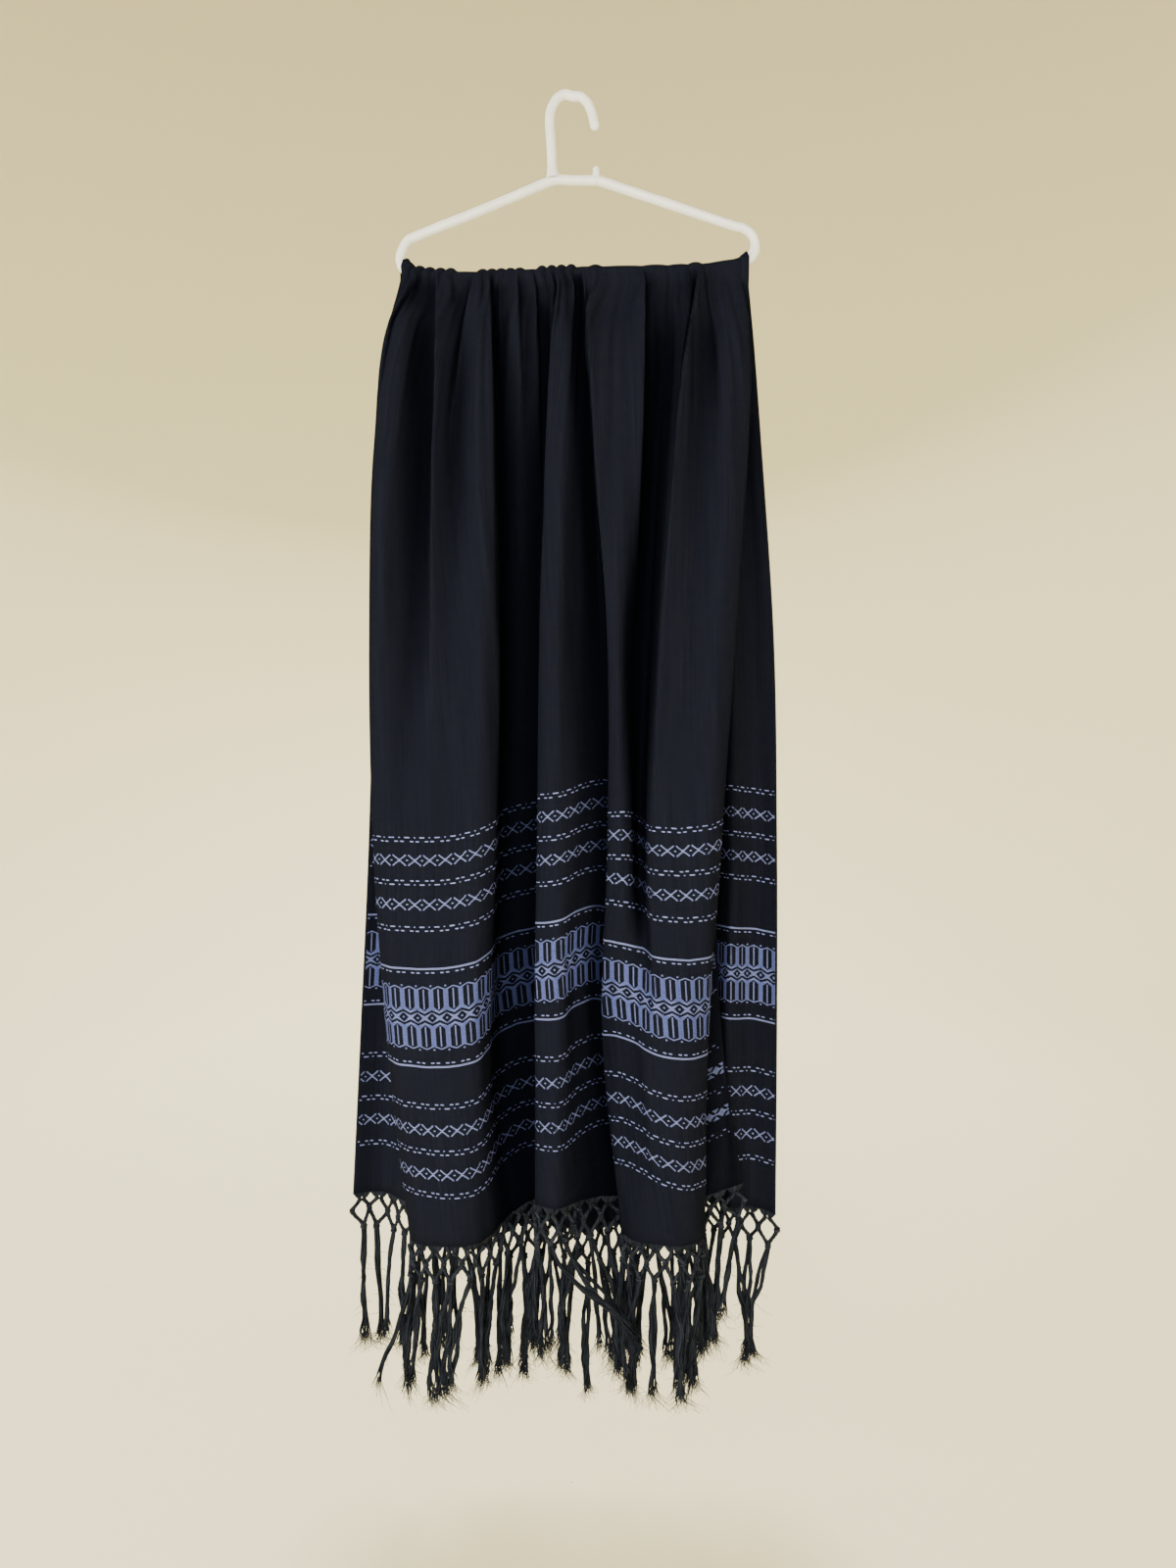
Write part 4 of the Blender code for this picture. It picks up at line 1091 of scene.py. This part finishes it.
def add_roots(mesh, hem, middle, hand, gathered, out):
    """Warp ends that run together from the hem on one side of a tassel."""
    pitch = CLOTH_WIDTH / TASSELS
    for warp in np.linspace(-ROOT_SPREAD, ROOT_SPREAD, ROOTS):
        above, _, _ = hem.at(middle + hand * pitch * 0.25 + warp * pitch)
        path = np.stack((above + UP * 1.5, above + (gathered - above) * 0.5 - UP, gathered))
        mesh.sweep(path, ROOT_RADII, 3, out)


def build_fringe(name, fall, caught, seed, extra):
    """Roots, a knotted net of two rows, and the tassels that hang from it."""
    dice = np.random.default_rng(seed)
    mesh = YarnMesh()
    hem = Hem(fall)
    middles = [CLOTH_WIDTH / TASSELS * (k + 0.5) for k in range(TASSELS)]
    corners = [CLOTH_WIDTH / TASSELS * k for k in range(TASSELS + 1)]
    upper = net_row(dice, hem, corners, NET_ROW)
    lower = net_row(dice, hem, middles, 2 * NET_ROW)
    for k, middle in enumerate(middles):
        for hand, meet in ((-1, upper[k]), (1, upper[k + 1])):
            point, _, out = hem.at(middle + hand * ROOT_APART)
            gathered = point - UP * ROOT_DROP
            add_roots(mesh, hem, middle, hand, gathered, out)
            add_cord(mesh, dice, gathered, meet[0], out)
        for meet in (upper[k], upper[k + 1]):
            add_cord(mesh, dice, meet[0], lower[k][0], lower[k][2])
    for centre, along, out in upper:
        add_knot(mesh, dice, centre, along, out, UPPER_KNOT)
    clumps = gathered_tassels(dice, [centre for centre, _, _ in lower])
    for k, (centre, along, out) in enumerate(lower):
        add_knot(mesh, dice, centre, along, out, LOWER_KNOT)
        length = TASSEL_LENGTHS[k % len(TASSEL_LENGTHS)] + extra
        for hand in (0, 1):
            pull = clumps[k] + along * (hand - 0.5) * dice.uniform(*HAND_LEAN)
            pull = pull + out * dice.uniform(*HAND_OUT)
            if (k, hand) in caught:
                lean = caught[k, hand]
                pull = np.array((lean, fall.side * CAUGHT_OUT * abs(lean), 0.0))
            reach = length - np.linalg.norm(pull) * PULL_LIFT
            reach = reach * dice.uniform(*REACH_VARIES)
            top = centre + along * (hand - 0.5) * HAND_APART - UP * HAND_DROP
            add_strand(mesh, dice, top, along, out, reach, pull, dice.uniform(*LOOSENESS))
    return mesh.make(name)


def gathered_tassels(dice, centres):
    """How far each tassel's end hangs from under its knot, where neighbours cling."""
    pulls = []
    while len(pulls) < len(centres):
        size = int(dice.choice(GROUP_SIZES))
        group = np.array(centres[len(pulls):len(pulls) + size])
        middle = group.mean(axis=0)
        sway = np.array((dice.uniform(*SWAY), dice.uniform(*SWAY_OUT), 0.0))
        for centre in group:
            pull = (middle - centre) * dice.uniform(*CLING) + sway
            pull[2] = 0.0
            pulls.append(pull * min(1.0, MOST_PULL / (np.linalg.norm(pull) + 1e-6)))
    return pulls


# ---------------------------------------------------------------------- hanger


def smooth_line(points, closed=False):
    """Points on a smooth curve through the given ones."""
    line = np.array(points, dtype=float)
    count = len(line)
    made = []
    for index in range(count if closed else count - 1):
        near = index + np.arange(-1, 3)
        near = near % count if closed else np.clip(near, 0, count - 1)
        before, start, end, after = line[near]
        for step in range(SPAN_STEPS):
            t = step / SPAN_STEPS
            made.append(0.5 * (2 * start + (end - before) * t
                               + (2 * before - 5 * start + 4 * end - after) * t * t
                               + (3 * start - before - 3 * end + after) * t ** 3))
    if not closed:
        made.append(line[-1])
    return np.array(made)


def moulded_tube(line, radii, closed=False):
    """Points and faces of a round moulded rod, with the parting line along its sides."""
    if closed:
        heading = np.roll(line, -1, axis=0) - np.roll(line, 1, axis=0)
    else:
        heading = np.gradient(line, axis=0)
    heading /= np.linalg.norm(heading, axis=1)[:, None]
    side = np.stack((-heading[:, 1], heading[:, 0]), axis=1)
    angle = 2.0 * math.pi * np.arange(TUBE_SIDES) / TUBE_SIDES
    ridge = np.where(np.abs(np.sin(angle)) < 1e-6, MOULD_LINE, 0.0)
    reach = radii[:, None] + ridge[None, :]
    flat = line[:, None, :] + side[:, None, :] * (reach * np.cos(angle))[:, :, None]
    points = np.stack((flat[:, :, 0], reach * np.sin(angle), flat[:, :, 1]), axis=2)
    return points.reshape(-1, 3), ring_faces(len(line), TUBE_SIDES, 0, closed)


def rounded_end(line, radii, radius):
    """The line and radii with a round tip added at the end."""
    onward = unit(line[-1] - line[-2])
    angle = np.linspace(0.0, TIP_SHARE * math.pi / 2, SPAN_STEPS)[1:]
    tip = line[-1] + onward * (radius * np.sin(angle))[:, None]
    return np.vstack((line, tip)), np.concatenate((radii, radius * np.cos(angle)))


def build_hanger():
    """Frame, hook with its flared foot, and the little peg, as one moulded piece."""
    frame = smooth_line(FRAME_LINE, closed=True)
    foot = np.array((HOOK_LINE[0][0] + FOOT_RISE[0], FRAME_LINE[0][1] + FOOT_RISE[1]))
    hook = np.vstack(([foot], smooth_line(HOOK_LINE)))
    below = np.linalg.norm(hook - foot, axis=1)
    flare = FOOT_FLARE * np.clip(1.0 - below / FOOT_HIGH, 0.0, 1.0) ** 2
    stem = np.arange(len(hook)) < len(hook) // 3
    hook_radii = HOOK_RADIUS + np.where(stem, flare, 0.0)
    peg = np.array([(PEG_ACROSS, height) for height, _ in PEG_LINE])
    peg_radii = np.array([radius for _, radius in PEG_LINE])
    points, faces, start = [], [], 0
    for made, corners in (
            moulded_tube(frame, np.full(len(frame), FRAME_RADIUS), closed=True),
            moulded_tube(*rounded_end(hook, hook_radii, HOOK_RADIUS)),
            moulded_tube(*rounded_end(peg, peg_radii, PEG_RADIUS))):
        points.append(made)
        faces.append(corners + start)
        start += len(made)
    return new_mesh("plastic_hanger", np.concatenate(points), np.concatenate(faces))


# ------------------------------------------------------------------- materials


# Linear colours.
SLUB_SHARE = 0.2
CLOTH_DARK = (0.0035, 0.0042, 0.0078)
CLOTH_LIGHT = (0.0067, 0.0079, 0.0134)
# Painted shade: the colour that the cloth turns to in deep folds.
CLOTH_PAINTED_SHADE_COLOUR = (0.0006, 0.0009, 0.0021)
THREAD_DARK = (0.059, 0.076, 0.235)
THREAD_LIGHT = (0.102, 0.125, 0.320)
THREAD_EDGE = (0.160, 0.184, 0.38)
# Painted shade: the colour that the floats turn to in deep folds, and how far.
THREAD_PAINTED_SHADE_COLOUR = (0.008, 0.012, 0.040)
THREAD_PAINTED_SHADE_MOST = 0.92
# The cord's pale streaks are partly the fibres' own tone and partly painted sheen.
CORD_DARK = (0.0018, 0.0024, 0.0044)
CORD_PALE_AND_SHEEN = (0.0230, 0.0268, 0.0360)
PLASTIC_DARK = (0.70, 0.695, 0.665)
PLASTIC_LIGHT = (0.78, 0.775, 0.745)
FLOOR_COLOUR = (0.86, 0.79, 0.52)
WORLD_COLOUR = (1.0, 0.985, 0.95)
WORLD_STRENGTH = 0.48


class Look:
    """A material that is being made, with short ways to add to its nodes."""

    def __init__(self, name, inputs):
        self.made = bpy.data.materials.new(name)
        self.made.use_nodes = True
        self.tree = self.made.node_tree
        self.fill(self.tree.nodes["Principled BSDF"], inputs)

    def fill(self, node, inputs):
        """Set each input to a value, or link it to another node's output."""
        for socket, value in inputs.items():
            if isinstance(value, bpy.types.NodeSocket):
                self.tree.links.new(value, node.inputs[socket])
            else:
                node.inputs[socket].default_value = value

    def add(self, kind, inputs, **settings):
        """A new node with its settings and inputs."""
        node = self.tree.nodes.new("ShaderNode" + kind)
        for name, value in settings.items():
            setattr(node, name, value)
        self.fill(node, inputs)
        return node

    def shade(self, **inputs):
        """Fill the main shader's inputs, and give the material."""
        named = {socket.replace("_", " "): value for socket, value in inputs.items()}
        self.fill(self.tree.nodes["Principled BSDF"], named)
        return self.made

    def noise(self, place, scale, detail, roughness):
        """Strength of a noise at a place."""
        inputs = {"Vector": place, "Scale": scale, "Detail": detail, "Roughness": roughness}
        return self.add("TexNoise", inputs).outputs["Fac"]

    def cloth_noise(self, across, along, detail, roughness):
        """A noise with so many spots to a metre across the cloth and along it."""
        place = self.add("UVMap", {}, uv_map="cloth").outputs["UV"]
        place = self.add("Mapping", {"Vector": place, "Scale": (across, along, 1.0)})
        return self.noise(place.outputs["Vector"], 1.0, detail, roughness)

    def ramp(self, strength, low, dark, high, light):
        """A colour that goes from dark at low to light at high."""
        node = self.add("ValToRGB", {"Fac": strength})
        for element, place, colour in zip(node.color_ramp.elements, (low, high), (dark, light)):
            element.position = place
            element.color = (*colour, 1.0)
        return node.outputs["Color"]

    def blend(self, share, colour, other):
        """A colour that turns to a plain other one by a share."""
        return self.add("Mix", {0: share, 6: colour, 7: (*other, 1.0)},
                        data_type="RGBA").outputs[2]

    def stored(self, name):
        """A value that each point of the piece has."""
        return self.add("Attribute", {}, attribute_name=name).outputs["Fac"]

    def with_painted_shade(self, colour, shade_colour, most):
        """A colour that is darkened towards the shade colour by painted shade, up to the given share, as
        the piece's stored fold shade grows to 1.
        """
        share = self.add("Math", {0: self.stored("painted_fold_shade"), 1: most},
                         operation="MULTIPLY").outputs[0]
        return self.blend(share, colour, shade_colour)

    def bump(self, height, strength, distance):
        """A normal that is pressed by a height."""
        inputs = {"Height": height, "Strength": strength, "Distance": distance}
        return self.add("Bump", inputs).outputs["Normal"]


def cloth_look():
    """Black cloth: streaky warp, slubs in the weft, a fine rib, and painted shade in deep folds."""
    look = Look("black_cloth_look", {"Roughness": 1.0, "IOR": 1.3, "Specular IOR Level": 0.03})
    streaks = look.cloth_noise(620.0, 6.0, 6.0, 0.7)
    slubs = look.cloth_noise(30.0, 700.0, 3.0, 0.6)
    weave = look.add("Mix", {0: SLUB_SHARE, 2: streaks, 3: slubs}).outputs[0]
    tone = look.ramp(weave, 0.34, CLOTH_DARK, 0.62, CLOTH_LIGHT)
    return look.shade(Base_Color=look.with_painted_shade(tone, CLOTH_PAINTED_SHADE_COLOUR, CLOTH_PAINTED_SHADE_MOST),
                      Normal=look.bump(weave, 0.3, 0.0003))


def thread_look():
    """Lavender cotton floats: deep blue where they lie close, paler at their ends, and darkened by
    painted shade in deep folds.
    """
    look = Look("lavender_thread_look",
                {"Roughness": 0.75, "IOR": 1.4, "Specular IOR Level": 0.1})
    fibre = look.cloth_noise(160.0, 900.0, 3.0, 0.55)
    tone = look.ramp(fibre, 0.3, THREAD_DARK, 0.7, THREAD_LIGHT)
    tone = look.blend(look.stored("paleness"), tone, THREAD_EDGE)
    return look.shade(Base_Color=look.with_painted_shade(tone, THREAD_PAINTED_SHADE_COLOUR, THREAD_PAINTED_SHADE_MOST))


def cord_look():
    """Black fringe yarn with fine fibres along it; its pale streaks are partly painted sheen."""
    look = Look("black_cord_look", {"Roughness": 0.95, "IOR": 1.3, "Specular IOR Level": 0.05})
    fibre = look.cloth_noise(240.0, 40.0, 4.0, 0.6)
    return look.shade(Base_Color=look.ramp(fibre, 0.36, CORD_DARK, 0.64, CORD_PALE_AND_SHEEN),
                      Normal=look.bump(fibre, 0.35, 0.0002))


def plastic_look():
    """Milky white moulded plastic, a little dull with handling."""
    look = Look("white_plastic_look", {
        "IOR": 1.5, "Specular IOR Level": 0.5, "Subsurface Weight": 0.25,
        "Subsurface Scale": 0.004, "Coat Weight": 0.08, "Coat Roughness": 0.25,
    })
    cloud = look.noise(look.add("TexCoord", {}).outputs["Object"], 60.0, 4.0, 0.6)
    dull = look.add("MapRange", {"Value": cloud, "To Min": 0.32, "To Max": 0.46})
    return look.shade(Base_Color=look.ramp(cloud, 0.3, PLASTIC_DARK, 0.7, PLASTIC_LIGHT),
                      Roughness=dull.outputs["Result"])


def floor_look():
    """Plain pale cream."""
    look = Look("pale_floor_look", {"Roughness": 0.9, "Specular IOR Level": 0.1})
    return look.shade(Base_Color=(*FLOOR_COLOUR, 1.0))


# ----------------------------------------------------------------------- stage

FLOOR_HEIGHT = -1.60
FLOOR_RADIUS = 3.2
RIM_RADIUS = 5.2
RIM_HEIGHT = 6.4
RIM_STEPS = 13
FLOOR_SIDES = 96

Lamp = namedtuple("Lamp", "name place aim size watts colour")
LAMPS = (
    Lamp("key", (-0.7, -3.2, -0.5), (0.0, 0.0, -1.1), 2.0, 168.0, (1.0, 0.99, 0.97)),
    Lamp("left", (-3.0, -1.7, -0.7), (0.0, 0.0, -1.0), 1.6, 72.0, (0.98, 0.99, 1.0)),
    Lamp("right", (3.0, -1.9, -0.7), (0.0, 0.0, -1.0), 1.6, 38.0, (1.0, 0.98, 0.96)),
    Lamp("back", (-0.4, 3.0, 2.2), (0.0, 0.8, -0.9), 2.6, 340.0, (1.0, 1.0, 1.0)),
)


def build_floor(look):
    """A round pale floor that turns up into a far rim, so it is plain all round."""
    turn = np.linspace(0.0, math.pi / 2, RIM_STEPS)
    reach = RIM_RADIUS - FLOOR_RADIUS
    radii = np.concatenate(((0.001, FLOOR_RADIUS / 2), FLOOR_RADIUS + reach * np.sin(turn),
                            (RIM_RADIUS,)))
    rises = np.concatenate(((0.0, 0.0), reach * (1.0 - np.cos(turn)), (RIM_HEIGHT,)))
    around = np.linspace(0.0, 2.0 * math.pi, FLOOR_SIDES + 1)[:-1]
    heights = np.repeat((rises + FLOOR_HEIGHT)[:, None], FLOOR_SIDES, axis=1)
    points = np.stack((radii[:, None] * np.cos(around), radii[:, None] * np.sin(around),
                       heights), axis=2)
    floor = new_mesh("pale_floor", points.reshape(-1, 3) / MM,
                     ring_faces(len(radii), FLOOR_SIDES))
    floor.data.materials.append(look)


def build_lights():
    """Soft lamps and a dim even sky."""
    for lamp in LAMPS:
        data = bpy.data.lights.new(lamp.name, "AREA")
        data.shape = "DISK"
        data.size = lamp.size
        data.energy = lamp.watts
        data.color = lamp.colour
        made = bpy.data.objects.new(lamp.name, data)
        made.location = lamp.place
        aim = Vector(lamp.aim) - Vector(lamp.place)
        made.rotation_euler = aim.to_track_quat("-Z", "Y").to_euler()
        bpy.context.scene.collection.objects.link(made)
    world = bpy.data.worlds.new("studio")
    world.use_nodes = True
    sky = world.node_tree.nodes["Background"]
    sky.inputs["Color"].default_value = (*WORLD_COLOUR, 1.0)
    sky.inputs["Strength"].default_value = WORLD_STRENGTH
    bpy.context.scene.world = world


def build_camera():
    """The camera, level and straight in front."""
    data = bpy.data.cameras.new("camera")
    data.lens = CAMERA_LENS
    data.sensor_width = 36.0
    made = bpy.data.objects.new("camera", data)
    made.location = CAMERA_PLACE
    made.rotation_euler = (math.pi / 2, 0.0, 0.0)
    bpy.context.scene.collection.objects.link(made)
    bpy.context.scene.camera = made


# ------------------------------------------------------------------------ main


def build_floats(front, back):
    """The figured bands, as one piece for each face of each fall."""
    inside = CLOTH_WIDTH - SELVAGE
    front_lines = end_lines(FRONT_END, FINE_ROW)
    back_lines = end_lines(BACK_END, PLAIN_ROW)
    hidden_lines = end_lines(FRONT_END, PLAIN_ROW)
    margin = CLOTH_WIDTH * FRONT_MARGIN
    return [
        weave_floats("floats_front", front, front_lines, 1, SELVAGE, inside, margin),
        weave_floats("floats_back", back, back_lines, 1, SELVAGE, inside),
        weave_floats("floats_back_inner", back, back_lines, -1, SELVAGE, inside),
        weave_floats("floats_front_inner", front, hidden_lines, -1, SELVAGE, inside,
                     flat=True),
    ]


def main():
    clear_scene()
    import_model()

    front = Fall(FRONT_FOLDS, -1)
    back = Fall(BACK_FOLDS, 1)
    cloth, length = build_cloth(front, back)
    floats = build_floats(front, back)
    fringes = [build_fringe("fringe_front_yarns", front, CAUGHT_FRONT, 7, 0.0),
               build_fringe("fringe_back_yarns", back, CAUGHT_BACK, 19, BACK_EXTRA)]
    hanger = build_hanger()
    for pieces, look in (((cloth,), cloth_look()), (floats, thread_look()),
                         (fringes, cord_look()), ((hanger,), plastic_look())):
        for piece in pieces:
            piece.data.materials.append(look)

    for piece, node in zip(fringes, ("fringe_front", "fringe_back")):
        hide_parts(node)
    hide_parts("hanger_frame", "hanger_hook")
    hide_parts("cloth_front", "cloth_back")
    for piece in (cloth, hanger, *floats, *fringes):
        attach(piece, "root")

    build_floor(floor_look())
    build_lights()
    build_camera()


main()
